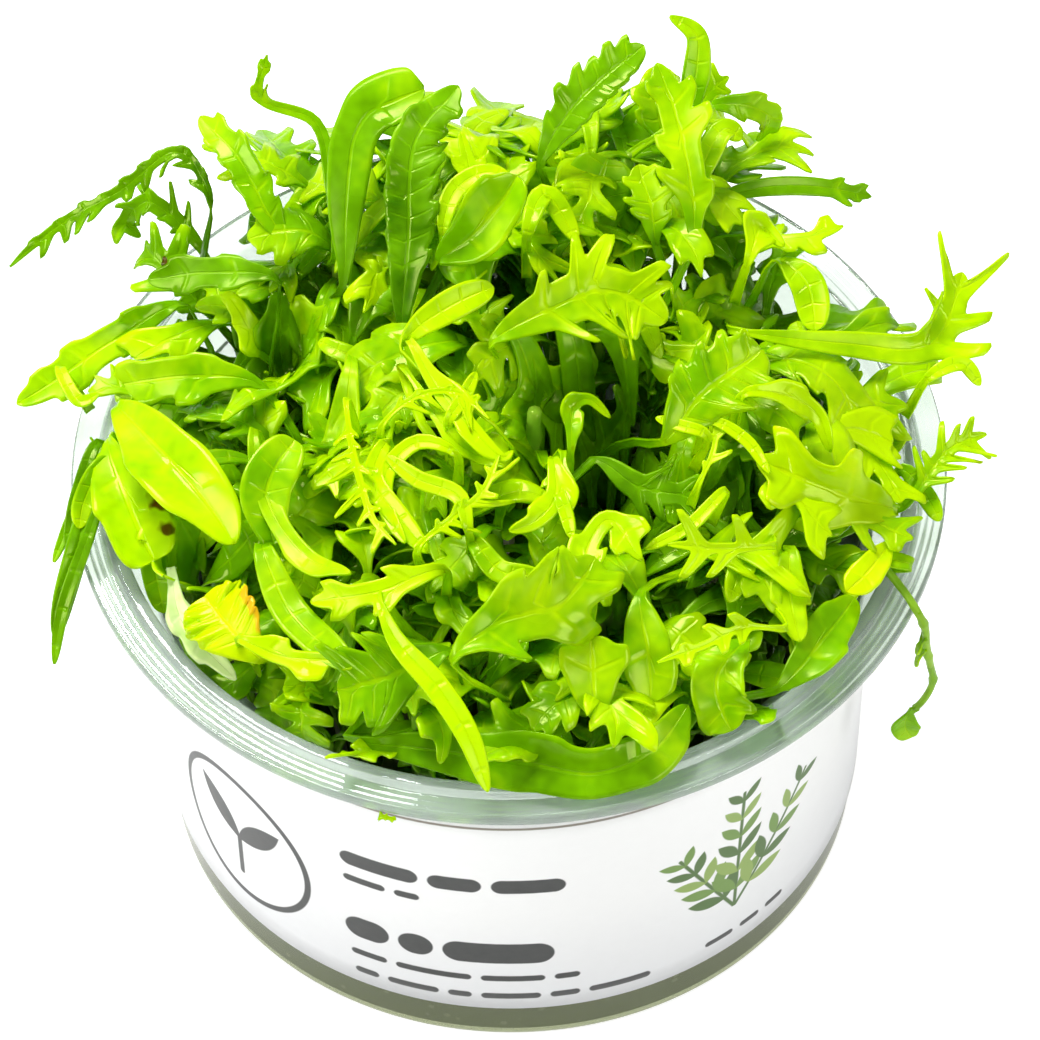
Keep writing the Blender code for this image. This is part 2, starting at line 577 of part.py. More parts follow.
def make_plants(collection, helpers, cup):
    leaf_green = make_material("leaf_green", (0.20, 0.48, 0.01), 0.3)
    leaf_yellow = make_material("leaf_yellow", (0.60, 0.78, 0.01), 0.3)
    stem_green = make_material("stem_green", (0.35, 0.55, 0.12), 0.35)
    shoots = [make_shoot(stem, stem_green, collection, helpers) for stem in STEMS]
    hanging_route = smooth_route(np.array(HANGING_ROUTE) * MM, HANGING_POINTS)
    hanging = make_tube("stem_hanging", hanging_route, HANGING_RADIUS, stem_green, collection)
    fixed = [object_tree(obj) for obj in [cup, hanging] + shoots]
    laid = []
    on_stem = dict.fromkeys(STEMS, 0)
    for entry in LEAVES:
        name, stem = entry[:2]
        sheet, sink = lay_leaf(entry, on_stem[stem], laid, fixed)
        on_stem[stem] += 1
        laid.append(tree_of(sheet, sheet_faces(len(sheet))))
        sheet_object(name, sheet, leaf_yellow if "yellow" in name else leaf_green, collection)
        print(name, "lies", round(sink / MM, 1) + 0, "mm further along the line of sight")
    name, half_width, points = HANGING_LEAF
    root = np.array(HANGING_LEAF_ROOT) * MM
    sheet, _ = leaf_sheet([root], np.array(points) * MM, half_width * MM, 0, 0, np.array(EYE))
    sheet_object(name, sheet, leaf_green, collection)


def main():
    clear_scene()
    collection = bpy.data.collections.new("culture_cup")
    bpy.context.scene.collection.children.link(collection)
    cup = make_cup(collection)
    make_label(collection)
    make_gel(collection)
    helpers = bpy.data.collections.new("helpers")
    bpy.context.scene.collection.children.link(helpers)
    make_plants(collection, helpers, cup)


main()
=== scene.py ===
# %% [markdown]
# # A culture cup full of water plants
#
# A clear round cup with a wide rim holds a disc of olive nutrient gel and a crown of bright green,
# lobed leaves. Every place and size comes from the measured model, which is loaded here first. The
# looks are built round it: fine leaves, wet skin, clear plastic and a printed label.

# %% Load the measured model
import math

import bpy
import numpy as np
from mathutils import Matrix, Vector


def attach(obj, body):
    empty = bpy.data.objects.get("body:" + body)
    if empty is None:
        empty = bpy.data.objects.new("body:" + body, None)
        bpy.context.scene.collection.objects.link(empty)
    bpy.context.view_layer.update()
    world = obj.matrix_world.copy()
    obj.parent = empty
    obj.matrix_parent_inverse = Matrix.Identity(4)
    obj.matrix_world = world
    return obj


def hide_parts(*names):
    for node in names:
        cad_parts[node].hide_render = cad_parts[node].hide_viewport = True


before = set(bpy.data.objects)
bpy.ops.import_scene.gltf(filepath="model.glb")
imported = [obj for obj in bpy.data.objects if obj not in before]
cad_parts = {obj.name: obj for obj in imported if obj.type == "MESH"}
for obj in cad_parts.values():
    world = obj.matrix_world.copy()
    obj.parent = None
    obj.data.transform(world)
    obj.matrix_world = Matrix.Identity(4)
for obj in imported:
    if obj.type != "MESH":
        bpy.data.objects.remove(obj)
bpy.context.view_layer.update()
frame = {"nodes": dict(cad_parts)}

MM = 0.001

# %% [markdown]
# The photo looks down on the cup at about 51 degrees from far away, so the rim is a wide, nearly true
# ellipse. A long lens keeps that flat perspective. The camera also leans by under a degree.

# %% The camera
CAMERA_ELEVATION = math.radians(51.2)
CAMERA_DISTANCE = 750 * MM
CAMERA_AIM = np.array([1.2, 0.0, 45.8]) * MM
CAMERA_LEAN = math.radians(-0.7)
FOCAL_LENGTH = 225.0
SENSOR_WIDTH = 36.0


def add_camera():
    """The camera stands back from its aim along its own line of sight."""
    data = bpy.data.cameras.new("photo_camera")
    data.lens = FOCAL_LENGTH
    data.sensor_width = SENSOR_WIDTH
    data.clip_end = 10.0
    camera = bpy.data.objects.new("photo_camera", data)
    sight = np.array([0, math.cos(CAMERA_ELEVATION), -math.sin(CAMERA_ELEVATION)])
    pitch = Matrix.Rotation(math.pi / 2 - CAMERA_ELEVATION, 3, "X")
    camera.rotation_euler = (pitch @ Matrix.Rotation(CAMERA_LEAN, 3, "Z")).to_euler()
    camera.location = CAMERA_AIM - sight * CAMERA_DISTANCE
    bpy.context.scene.collection.objects.link(camera)
    bpy.context.scene.camera = camera


add_camera()
print("the lens is", FOCAL_LENGTH, "mm")

# %% [markdown]
# Shader nodes are easier to read when a node and its inputs are one call. This helper sets plain values
# and joins sockets, so that each material below reads like a recipe.

# %% A helper for shader nodes
def add_node(tree, kind, inputs=None, **settings):
    """A node of that kind: settings are its properties, inputs its values or the sockets that feed it."""
    node = tree.nodes.new(kind)
    for name, value in settings.items():
        setattr(node, name, value)
    for name, value in (inputs or {}).items():
        if isinstance(value, bpy.types.NodeSocket):
            tree.links.new(value, node.inputs[name])
        else:
            node.inputs[name].default_value = value
    return node


def math_node(tree, operation, *values, clamp=False):
    node = add_node(tree, "ShaderNodeMath", dict(enumerate(values)), operation=operation, use_clamp=clamp)
    return node.outputs[0]


def mix_colours(tree, share, first, second):
    node = add_node(tree, "ShaderNodeMix", data_type="RGBA")
    for index, value in ((0, share), (6, first), (7, second)):
        if isinstance(value, bpy.types.NodeSocket):
            tree.links.new(value, node.inputs[index])
        else:
            node.inputs[index].default_value = value
    return node.outputs[2]


def new_material(name):
    """A material with an empty node tree, its output node and its Principled shader."""
    material = bpy.data.materials.new(name)
    material.use_nodes = True
    tree = material.node_tree
    return material, tree, tree.nodes["Principled BSDF"]


print("node helpers are ready")

# %% [markdown]
# Product photos of this kind are shot on white under big soft lamps. A white floor, a pale world that is
# a little darker near the horizon, and three large area lamps give that. The darker horizon is what
# draws the edges of the clear plastic.

# %% Floor, world and lamps
FLOOR_HALF = 1.5
WORLD_STRENGTH = 0.2
WORLD_THROUGH = 0.6
CAMERA_SIDE = 0.4
FLOOR_GLOW = 0.8
FLOOR_BOUNCE = 0.4
LAMPS = [
    # name, size (m), power (W), place (m)
    ("soft_lamp_over", 0.36, 7.4, (-0.22, 0.32, 0.75)),
    ("soft_lamp_left", 0.36, 3.4, (-0.62, -0.22, 0.45)),
    ("soft_lamp_right", 0.36, 2.6, (0.5, -0.45, 0.4)),
]


def add_floor():
    """A white sheet that is bright to look at, straight or through the plastic, and lights the cup less."""
    corners = np.array([(-1, -1, 0), (1, -1, 0), (1, 1, 0), (-1, 1, 0)], float) * FLOOR_HALF
    mesh = bpy.data.meshes.new("floor")
    mesh.from_pydata(corners, [], [(0, 1, 2, 3)])
    floor = bpy.data.objects.new("floor", mesh)
    bpy.context.scene.collection.objects.link(floor)
    material, tree, shader = new_material("floor_white")
    shader.inputs["Base Color"].default_value = (0.6, 0.6, 0.6, 1)
    shader.inputs["Roughness"].default_value = 0.9
    shader.inputs["Specular IOR Level"].default_value = 0.1
    shader.inputs["Emission Color"].default_value = (1, 1, 1, 1)
    ray = add_node(tree, "ShaderNodeLightPath").outputs
    seen = math_node(tree, "MAXIMUM", ray["Is Camera Ray"], ray["Is Transmission Ray"])
    glow = math_node(tree, "MULTIPLY_ADD", seen, FLOOR_GLOW - FLOOR_BOUNCE, FLOOR_BOUNCE)
    tree.links.new(glow, shader.inputs["Emission Strength"])
    mesh.materials.append(material)


def add_world():
    """Pale all round, brightest overhead, darker on the camera's side, and brighter through the plastic."""
    world = bpy.data.worlds.new("soft_studio")
    bpy.context.scene.world = world
    world.use_nodes = True
    tree = world.node_tree
    place = add_node(tree, "ShaderNodeTexCoord")
    parts = add_node(tree, "ShaderNodeSeparateXYZ", {"Vector": place.outputs["Generated"]})
    ramp = add_node(tree, "ShaderNodeValToRGB", {"Fac": parts.outputs["Z"]})
    ramp.color_ramp.elements[0].color = (0.72, 0.74, 0.73, 1)
    ramp.color_ramp.elements[1].color = (1, 1, 1, 1)
    ramp.color_ramp.elements[1].position = 0.6
    darker = add_node(
        tree, "ShaderNodeMapRange",
        {"Value": parts.outputs["Y"], "From Min": -1.0, "From Max": 0.0, "To Min": CAMERA_SIDE, "To Max": 1.0},
    )
    through = add_node(tree, "ShaderNodeLightPath").outputs["Is Transmission Ray"]
    strength = math_node(tree, "MULTIPLY_ADD", through, WORLD_THROUGH - WORLD_STRENGTH, WORLD_STRENGTH)
    background = tree.nodes["Background"]
    tree.links.new(math_node(tree, "MULTIPLY", strength, darker.outputs["Result"]), background.inputs["Strength"])
    tree.links.new(ramp.outputs["Color"], background.inputs["Color"])


def add_lamps():
    aim = Vector(CAMERA_AIM)
    for name, size, power, place in LAMPS:
        data = bpy.data.lights.new(name, "AREA")
        data.shape = "DISK"
        data.size = size
        data.energy = power
        lamp = bpy.data.objects.new(name, data)
        lamp.location = place
        lamp.rotation_euler = (Vector(place) - aim).to_track_quat("Z", "Y").to_euler()
        bpy.context.scene.collection.objects.link(lamp)


add_floor()
add_world()
add_lamps()
bpy.context.scene.view_settings.view_transform = "Standard"
print(len(LAMPS), "lamps light the cup")

# %% [markdown]
# Every new piece is a surface worked out with numpy: a grid of points, rows by columns. Two neighbouring
# rows and columns make one quad. A closed round piece has rings of points and one more point at each
# end, joined to it by a fan of triangles, so no seam or pole stays open.

# %% From arrays to meshes
def grid_quads(rows, columns, closed=False):
    """Quads between neighbouring rows and columns; a closed grid also joins its last column to its first."""
    index = np.arange(rows * columns).reshape(rows, columns)
    if closed:
        index = np.hstack([index, index[:, :1]])
    corners = [index[:-1, :-1], index[1:, :-1], index[1:, 1:], index[:-1, 1:]]
    return np.stack([corner.ravel() for corner in corners], axis=1)


def make_piece(name, points, faces, material, values=None, uv=None, replaces=()):
    """A smooth mesh at the origin, with a value for each point, that rides with the cup."""
    mesh = bpy.data.meshes.new(name)
    mesh.from_pydata(points, [], faces)
    mesh.shade_smooth()
    for key, numbers in (values or {}).items():
        attribute = mesh.attributes.new(key, "FLOAT", "POINT")
        attribute.data.foreach_set("value", np.asarray(numbers, np.float32).ravel())
    if uv is not None:
        corner = np.empty(len(mesh.loops), np.int32)
        mesh.loops.foreach_get("vertex_index", corner)
        layer = mesh.uv_layers.new(name="UVMap")
        layer.uv.foreach_set("vector", np.asarray(uv, np.float32)[corner].ravel())
    mesh.materials.append(material)
    piece = bpy.data.objects.new(name, mesh)
    bpy.context.scene.collection.objects.link(piece)
    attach(piece, "root")
    if replaces:
        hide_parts(*replaces)
    return piece


def ringed_solid(rings, first_end, last_end):
    """Points and faces of rings of points, closed by a fan of triangles to one point at each end."""
    count, sides = rings.shape[:2]
    points = np.vstack([rings.reshape(-1, 3), [first_end], [last_end]])
    around = np.arange(sides)
    following = np.roll(around, -1)
    first_fan = np.stack([around, following, np.full(sides, count * sides)], axis=1)
    last_ring = (count - 1) * sides
    last_fan = np.stack([following + last_ring, around + last_ring, np.full(sides, count * sides + 1)], axis=1)
    quads = grid_quads(count, sides, closed=True)
    return points, quads[:, ::-1].tolist() + first_fan[:, ::-1].tolist() + last_fan[:, ::-1].tolist()


def turned(profile, steps):
    """Rings of a (radius, height) profile turned about Z, from one point on the axis to another.

    The outer side of the profile runs down and the rings turn clockwise, so the faces point out.
    """
    around = -np.linspace(0, 2 * math.pi, steps, endpoint=False)
    radius, height = np.asarray(profile[1:-1], float).T
    rings = np.stack([
        radius[:, None] * np.cos(around),
        radius[:, None] * np.sin(around),
        np.repeat(height[:, None], steps, axis=1),
    ], axis=2)
    return ringed_solid(rings, (0, 0, profile[0][1]), (0, 0, profile[-1][1]))


print("mesh helpers are ready")

# %% [markdown]
# The cup is one clear moulding. Its section, drawn once and turned about the axis, has a flat base, a
# nearly straight wall, a shoulder, a collar and a wide rim with fine moulded rings. Real plastic is
# see-through with a faint green tint, which plain transmission with the plastic's IOR gives. The turned
# solid has many steps, so its outline is round from close by.

# %% The cup
CUP_STEPS = 192
WALL = 1.2 * MM
WALL_LOW_RADIUS = 40.8 * MM
WALL_TOP_RADIUS = 41.8 * MM
SHOULDER_LOW = 48.6 * MM
SHOULDER_TOP = 51.0 * MM
COLLAR_RADIUS = 46.2 * MM
FLANGE_RADIUS = 50.0 * MM
FLANGE_TOP = 55.5 * MM
FLANGE_THICKNESS = 1.1 * MM
CUP_HEIGHT = 56.0 * MM
FLOOR = 1.0 * MM
BASE_EDGE_RADIUS = 1.5 * MM
RING_RADII = (47.9 * MM, 48.7 * MM)
RING_HEIGHT = 0.08 * MM
RING_HALF = 0.22 * MM
LIP_RISE = 0.25 * MM
PLASTIC_IOR = 1.49


def wall_radius(height):
    """The outer radius of the slightly tapered wall."""
    return WALL_LOW_RADIUS + (WALL_TOP_RADIUS - WALL_LOW_RADIUS) * height / SHOULDER_LOW


def quarter_arc(radius, low, corner, steps=7):
    """A quarter circle from the wall down to the base: (radius, height) points."""
    turns = np.linspace(0, math.pi / 2, steps)
    return [(radius - corner + corner * math.cos(a), low + corner - corner * math.sin(a)) for a in turns]


def cup_profile():
    """The section from the middle of the floor, up inside, over the rim and down outside to the base."""
    inside = COLLAR_RADIUS - WALL
    flange_low = FLANGE_TOP - FLANGE_THICKNESS
    profile = [(0, FLOOR)] + quarter_arc(WALL_LOW_RADIUS - WALL, FLOOR, BASE_EDGE_RADIUS * 0.6)[::-1]
    profile += [
        (WALL_TOP_RADIUS - WALL, SHOULDER_LOW + 0.2 * MM),
        (WALL_TOP_RADIUS - WALL + 0.4 * MM, SHOULDER_LOW + 0.8 * MM),
        (inside - 0.3 * MM, SHOULDER_TOP + 0.1 * MM),
        (inside, SHOULDER_TOP + 0.7 * MM),
        (inside, CUP_HEIGHT - 0.4 * MM),
        (inside + 0.12 * MM, CUP_HEIGHT - 0.12 * MM),
        (inside + 0.4 * MM, CUP_HEIGHT),
        (inside + 1.3 * MM, CUP_HEIGHT),
        (inside + 1.7 * MM, CUP_HEIGHT - 0.12 * MM),
        (inside + 1.9 * MM, FLANGE_TOP),
    ]
    for ring in RING_RADII:
        profile += [(ring - RING_HALF, FLANGE_TOP), (ring, FLANGE_TOP + RING_HEIGHT), (ring + RING_HALF, FLANGE_TOP)]
    profile += [
        (FLANGE_RADIUS - 0.75 * MM, FLANGE_TOP),
        (FLANGE_RADIUS - 0.5 * MM, FLANGE_TOP + LIP_RISE),
        (FLANGE_RADIUS - 0.15 * MM, FLANGE_TOP + LIP_RISE - 0.06 * MM),
        (FLANGE_RADIUS, FLANGE_TOP),
        (FLANGE_RADIUS, flange_low + 0.25 * MM),
        (FLANGE_RADIUS - 0.2 * MM, flange_low),
        (COLLAR_RADIUS + 0.4 * MM, flange_low),
        (COLLAR_RADIUS, flange_low - 0.4 * MM),
        (COLLAR_RADIUS, SHOULDER_TOP + 0.3 * MM),
        (COLLAR_RADIUS - 0.4 * MM, SHOULDER_TOP - 0.3 * MM),
        (WALL_TOP_RADIUS + 0.4 * MM, SHOULDER_LOW + 0.3 * MM),
        (WALL_TOP_RADIUS, SHOULDER_LOW - 0.3 * MM),
    ]
    return profile + quarter_arc(WALL_LOW_RADIUS, 0, BASE_EDGE_RADIUS) + [(0, 0)]


def clear_plastic():
    """Slightly milky plastic: most light goes through, a little is scattered, and fine waves bend it."""
    material, tree, shader = new_material("clear_plastic")
    place = add_node(tree, "ShaderNodeTexCoord").outputs["Object"]
    waves = add_node(tree, "ShaderNodeTexNoise", {"Vector": place, "Scale": 60.0, "Detail": 3.0})
    bump = add_node(tree, "ShaderNodeBump", {"Height": waves.outputs["Fac"], "Strength": 0.3, "Distance": 0.0003})
    rough = add_node(tree, "ShaderNodeMapRange", {"Value": waves.outputs["Fac"], "To Min": 0.02, "To Max": 0.07})
    milky = mix_colours(tree, waves.outputs["Fac"], (0.78, 0.90, 0.80, 1), (0.88, 0.96, 0.90, 1))
    height = add_node(tree, "ShaderNodeSeparateXYZ", {"Vector": place}).outputs["Z"]
    by_gel = add_node(
        tree, "ShaderNodeMapRange",
        {"Value": height, "From Min": 7.0 * MM, "From Max": 15.0 * MM, "To Min": 1.0, "To Max": 0.0},
    )
    tinted = mix_colours(tree, by_gel.outputs["Result"], milky, (0.30, 0.35, 0.15, 1))
    tree.links.new(tinted, shader.inputs["Base Color"])
    tree.links.new(bump.outputs["Normal"], shader.inputs["Normal"])
    tree.links.new(rough.outputs["Result"], shader.inputs["Roughness"])
    shader.inputs["Transmission Weight"].default_value = 0.76
    shader.inputs["IOR"].default_value = PLASTIC_IOR
    return material


points, faces = turned(cup_profile(), CUP_STEPS)
make_piece("clear_cup", points, faces, clear_plastic(), replaces=["cup"])
print("the cup has", len(faces), "faces")

# %% [markdown]
# Under the plants lies a disc of nutrient gel. It is cloudy and olive, with small bubbles and a skin that
# climbs a little at the wall. A turned section gives the shape, and noise gives the clouds.

# %% The gel
GEL_TOP = 14.0 * MM
WETTED = 0.1 * MM
MENISCUS = 0.8 * MM


def gel_profile():
    """The section from the middle of the top, out to where the skin climbs, and down to the floor.

    The gel wets the plastic, so its skin lies a hair inside the wall and the floor, with no air between.
    """
    reach = wall_radius(GEL_TOP) - WALL + WETTED
    climb = np.linspace(0, 1, 9)
    top = [(reach * share, GEL_TOP - MENISCUS * (1 - share**12)) for share in climb]
    low = FLOOR - WETTED
    edge = quarter_arc(WALL_LOW_RADIUS - WALL + WETTED, low, BASE_EDGE_RADIUS * 0.6)
    return [(0, GEL_TOP - MENISCUS)] + top[1:] + edge + [(0, low)]


def gel_material():
    material, tree, shader = new_material("nutrient_gel")
    place = add_node(tree, "ShaderNodeTexCoord").outputs["Object"]
    clouds = add_node(tree, "ShaderNodeTexNoise", {"Vector": place, "Scale": 90.0, "Detail": 5.0})
    bubbles = add_node(tree, "ShaderNodeTexVoronoi", {"Vector": place, "Scale": 420.0})
    bubble = add_node(
        tree, "ShaderNodeMapRange",
        {"Value": bubbles.outputs["Distance"], "From Min": 0.12, "From Max": 0.2, "To Min": 1.0, "To Max": 0.0},
    )
    colour = mix_colours(tree, clouds.outputs["Fac"], (0.13, 0.16, 0.04, 1), (0.26, 0.29, 0.10, 1))
    speckled = mix_colours(tree, math_node(tree, "MULTIPLY", bubble.outputs["Result"], 0.35), colour, (0.7, 0.74, 0.5, 1))
    bump = add_node(tree, "ShaderNodeBump", {"Height": clouds.outputs["Fac"], "Strength": 0.3, "Distance": 0.0005})
    tree.links.new(speckled, shader.inputs["Base Color"])
    tree.links.new(bump.outputs["Normal"], shader.inputs["Normal"])
    shader.inputs["Roughness"].default_value = 0.22
    return material


points, faces = turned(gel_profile(), 128)
make_piece("gel_disc", points, faces, gel_material(), replaces=["gel"])
print("the gel has", len(faces), "faces")

# %% [markdown]
# One printed sheet is wrapped round the wall. Its points are a grid bent to the wall's cone, and its UV
# map holds real centimetres along and up the sheet, so the print can be drawn at its true size. The
# print is made of plain rounded bars, a ring and leaf shapes, with no words.

# %% The label sheet
LABEL_LOW = 6.9 * MM
LABEL_TOP = 44.0 * MM
LABEL_THICKNESS = 0.2 * MM
LABEL_GAP = 0.3 * MM
LABEL_OPEN_DEG = 9.0
LABEL_COLUMNS = 180
LABEL_ROWS = 12


def label_surface():
    """A grid bent round the wall: the angle grows along the columns and the height along the rows."""
    half_wrap = math.radians(180 - LABEL_OPEN_DEG / 2)
    around = np.linspace(-half_wrap, half_wrap, LABEL_COLUMNS)[None, :]
    height = np.linspace(LABEL_LOW, LABEL_TOP, LABEL_ROWS)[:, None]
    radius = wall_radius(height) + LABEL_GAP + LABEL_THICKNESS / 2
    points = np.stack([
        radius * np.sin(around),
        -radius * np.cos(around),
        np.broadcast_to(height, (LABEL_ROWS, LABEL_COLUMNS)),
    ], axis=2)
    uv = np.stack(np.broadcast_arrays(WALL_TOP_RADIUS * around / MM / 10, height / MM / 10), axis=2)
    return points.reshape(-1, 3), uv.reshape(-1, 2)


def add_thickness(piece, thickness):
    solidify = piece.modifiers.new("Thickness", "SOLIDIFY")
    solidify.thickness = thickness
    solidify.offset = 0.0


print("the sheet is a grid of", LABEL_ROWS, "by", LABEL_COLUMNS, "points")

# %% [markdown]
# Each printed mark is a formula that says how far a place on the sheet is outside it, and ink is mixed
# over the paper where that is less than nothing. Marks of one ink and one height share their nodes, so
# that the print renders fast. A frame is a pair of coordinates, along and across, on the sheet.

# %% Printed marks
PRINT_EDGE = 0.008


def turned_frame(tree, frame, middle, turn):
    """The frame seen from a middle and turned: along is dx cos + dy sin, across is dy cos - dx sin."""
    dx = math_node(tree, "SUBTRACT", frame[0], middle[0])
    dy = math_node(tree, "SUBTRACT", frame[1], middle[1])
    along = math_node(tree, "MULTIPLY_ADD", dx, math.cos(turn), math_node(tree, "MULTIPLY", dy, math.sin(turn)))
    across = math_node(tree, "MULTIPLY_ADD", dy, math.cos(turn), math_node(tree, "MULTIPLY", dx, -math.sin(turn)))
    return along, across


def nearest_of(tree, distances):
    """The least of several distances."""
    nearest = distances[0]
    for distance in distances[1:]:
        nearest = math_node(tree, "MINIMUM", nearest, distance)
    return nearest


def off_bars(tree, frame, spans, up, half_height):
    """How far a place is outside a row of round-ended bars, given as middles and half lengths.

    It is the distance from the nearest bar's middle line, less half the height.
    """
    beyond = []
    for middle, half_length in spans:
        away = math_node(tree, "ABSOLUTE", math_node(tree, "SUBTRACT", frame[0], middle))
        beyond.append(math_node(tree, "SUBTRACT", away, half_length - half_height))
    past_end = math_node(tree, "MAXIMUM", nearest_of(tree, beyond), 0.0)
    aside = math_node(tree, "SUBTRACT", frame[1], up)
    squares = math_node(tree, "MULTIPLY_ADD", past_end, past_end, math_node(tree, "MULTIPLY", aside, aside))
    return math_node(tree, "SUBTRACT", math_node(tree, "SQRT", squares), half_height)


def off_leaves(tree, frame, leaves):
    """How far a place is outside the nearest pointed oval, given as a middle, half length and half height.

    An oval's half height falls as one minus the square of the share along it.
    """
    distances = []
    for middle, up, half_length, half_height in leaves:
        share = math_node(tree, "MULTIPLY", math_node(tree, "SUBTRACT", frame[0], middle), 1 / half_length)
        aside = math_node(tree, "ABSOLUTE", math_node(tree, "SUBTRACT", frame[1], up))
        squared = math_node(tree, "MULTIPLY", share, share)
        over = math_node(tree, "SUBTRACT", aside, half_height)
        distances.append(math_node(tree, "MULTIPLY_ADD", squared, half_height, over))
    return nearest_of(tree, distances)


def print_over(tree, under, ink, off):
    """The ink over the colour under it, wherever the place is inside the mark."""
    mask = add_node(
        tree, "ShaderNodeMapRange",
        {"Value": off, "From Min": -PRINT_EDGE, "From Max": PRINT_EDGE, "To Min": 1.0, "To Max": 0.0},
    )
    return mix_colours(tree, mask.outputs["Result"], under, ink)


print("bars and leaves can be printed")

# %% [markdown]
# The sheet carries rows of plain rounded bars where a label has its text, a ring with a two-leaved sprout,
# and a spray of simple oval leaves. The tables hold their places in centimetres along and up the sheet.

# %% The print
PAPER = (0.97, 0.975, 0.96, 1)
# the paper colour with painted shade, for the low part of the label
PAINTED_SHADE_PAPER = (0.85, 0.86, 0.87, 1)
INK = (0.03, 0.032, 0.03, 1)
PALE_INK = (0.22, 0.22, 0.20, 1)
LINE_INK = (0.30, 0.27, 0.22, 1)
BAR_ROWS = [
    # where the row starts, its height up the sheet, half the bars' height, the bars' lengths
    (-2.05, 3.17, 0.13, (0.95, 0.62, 0.85)),
    (-2.02, 2.78, 0.06, (0.52, 0.3)),
    (-2.03, 1.82, 0.2, (0.55, 0.42, 1.3)),
    (-1.97, 1.31, 0.055, (0.45, 0.9, 0.75, 0.3)),
    (-1.93, 0.95, 0.055, (0.3, 0.62, 0.28, 0.7, 0.35, 0.75)),
    (2.35, 1.0, 0.045, (0.4, 0.3, 0.3)),
]
BAR_SPACE = 0.11
RING_MIDDLE = (-3.6, 2.2)
RING_RADIUS = 1.12
RING_WIDTH = 0.09
SPRAY_FOOT = (2.75, 1.5)
SPRAY_STEMS = [
    # turn of the stem, its length, pairs of leaves
    (math.radians(118), 1.7, 5),
    (math.radians(88), 2.2, 6),
    (math.radians(55), 2.0, 5),
]
LEAF_SPREAD = math.radians(42)
SPRAY_GREENS = [(0.07, 0.16, 0.02, 1), (0.16, 0.30, 0.04, 1), (0.28, 0.42, 0.08, 1)]


def print_rows(tree, sheet, colour):
    """Rows of bars, each bar starting a space after the one before it."""
    for start, up, half_height, lengths in BAR_ROWS:
        spans = []
        for length in lengths:
            spans.append((start + length / 2, length / 2))
            start += length + BAR_SPACE
        colour = print_over(tree, colour, INK, off_bars(tree, sheet, spans, up, half_height))
    return colour


def print_sprout(tree, sheet, colour):
    """A ring, as a disc with a smaller one in paper colour on it, and a sprout folded about its stem."""
    along, up = RING_MIDDLE
    for radius, ink in ((RING_RADIUS, INK), (RING_RADIUS - RING_WIDTH, PAPER)):
        colour = print_over(tree, colour, ink, off_bars(tree, sheet, [(along, radius)], up, radius))
    stem = off_bars(tree, (sheet[1], sheet[0]), [(up - 0.35, 0.38)], along, 0.04)
    colour = print_over(tree, colour, INK, stem)
    folded = math_node(tree, "ABSOLUTE", math_node(tree, "SUBTRACT", sheet[0], along)), sheet[1]
    leaf = turned_frame(tree, folded, (0.33, up + 0.27), LEAF_SPREAD)
    return print_over(tree, colour, INK, off_leaves(tree, leaf, [(0, 0, 0.48, 0.17)]))


def print_spray(tree, sheet, colour):
    """Three stems from one foot, each with pairs of oval leaves that get smaller towards its tip.

    The sheet is folded along each stem, so that one mark prints both leaves of a pair.
    """
    for number, (turn, length, pairs) in enumerate(SPRAY_STEMS):
        along, across = turned_frame(tree, sheet, SPRAY_FOOT, turn)
        stem = off_bars(tree, (along, across), [(length / 2, length / 2)], 0.0, 0.025)
        colour = print_over(tree, colour, SPRAY_GREENS[0], stem)
        folded = along, math_node(tree, "ABSOLUTE", across)
        leaf_frame = turned_frame(tree, folded, (0.0, 0.0), LEAF_SPREAD)
        leaves = [[], [], []]
        for pair in range(pairs):
            share = (pair + 1) / (pairs + 0.6)
            half = 0.30 - 0.13 * share
            foot = length * share
            middle = foot * math.cos(LEAF_SPREAD) + half, -foot * math.sin(LEAF_SPREAD)
            leaves[(number + pair) % 3].append((*middle, half, half * 0.36))
        for green, own_leaves in zip(SPRAY_GREENS, leaves):
            colour = print_over(tree, colour, green, off_leaves(tree, leaf_frame, own_leaves))
    return colour


def label_material():
    """Coated paper: the print over faint fibres, with a thin line along the top edge, and painted shade that makes the
    paper darker towards its low edge.
    """
    material, tree, shader = new_material("label_print")
    place = add_node(tree, "ShaderNodeUVMap", uv_map="UVMap").outputs["UV"]
    parts = add_node(tree, "ShaderNodeSeparateXYZ", {"Vector": place}).outputs
    sheet = parts["X"], parts["Y"]
    solid_place = add_node(tree, "ShaderNodeTexCoord").outputs["Object"]
    fibres = add_node(tree, "ShaderNodeTexNoise", {"Vector": solid_place, "Scale": 700.0, "Detail": 4.0}).outputs["Fac"]
    up = add_node(tree, "ShaderNodeSeparateXYZ", {"Vector": solid_place}).outputs["Z"]
    # painted shade: the paper is painted darker towards the low edge of the label
    low = add_node(
        tree, "ShaderNodeMapRange",
        {"Value": up, "From Min": LABEL_LOW, "From Max": 0.6 * LABEL_TOP, "To Min": 1.0, "To Max": 0.0},
    ).outputs["Result"]
    paper = mix_colours(tree, low, PAPER, PAINTED_SHADE_PAPER)
    colour = print_over(tree, paper, LINE_INK, off_bars(tree, sheet, [(0, 20.0)], 4.31, 0.022))
    colour = print_rows(tree, sheet, colour)
    colour = print_sprout(tree, sheet, colour)
    colour = print_spray(tree, sheet, colour)
    worn = add_node(tree, "ShaderNodeMapRange", {"Value": fibres, "To Min": 0.0, "To Max": 0.07})
    colour = mix_colours(tree, worn.outputs["Result"], colour, (0.55, 0.56, 0.55, 1))
    rough = add_node(tree, "ShaderNodeMapRange", {"Value": fibres, "To Min": 0.28, "To Max": 0.42})
    bump = add_node(tree, "ShaderNodeBump", {"Height": fibres, "Strength": 0.08, "Distance": 0.0002})
    tree.links.new(colour, shader.inputs["Base Color"])
    tree.links.new(rough.outputs["Result"], shader.inputs["Roughness"])
    tree.links.new(bump.outputs["Normal"], shader.inputs["Normal"])
    return material


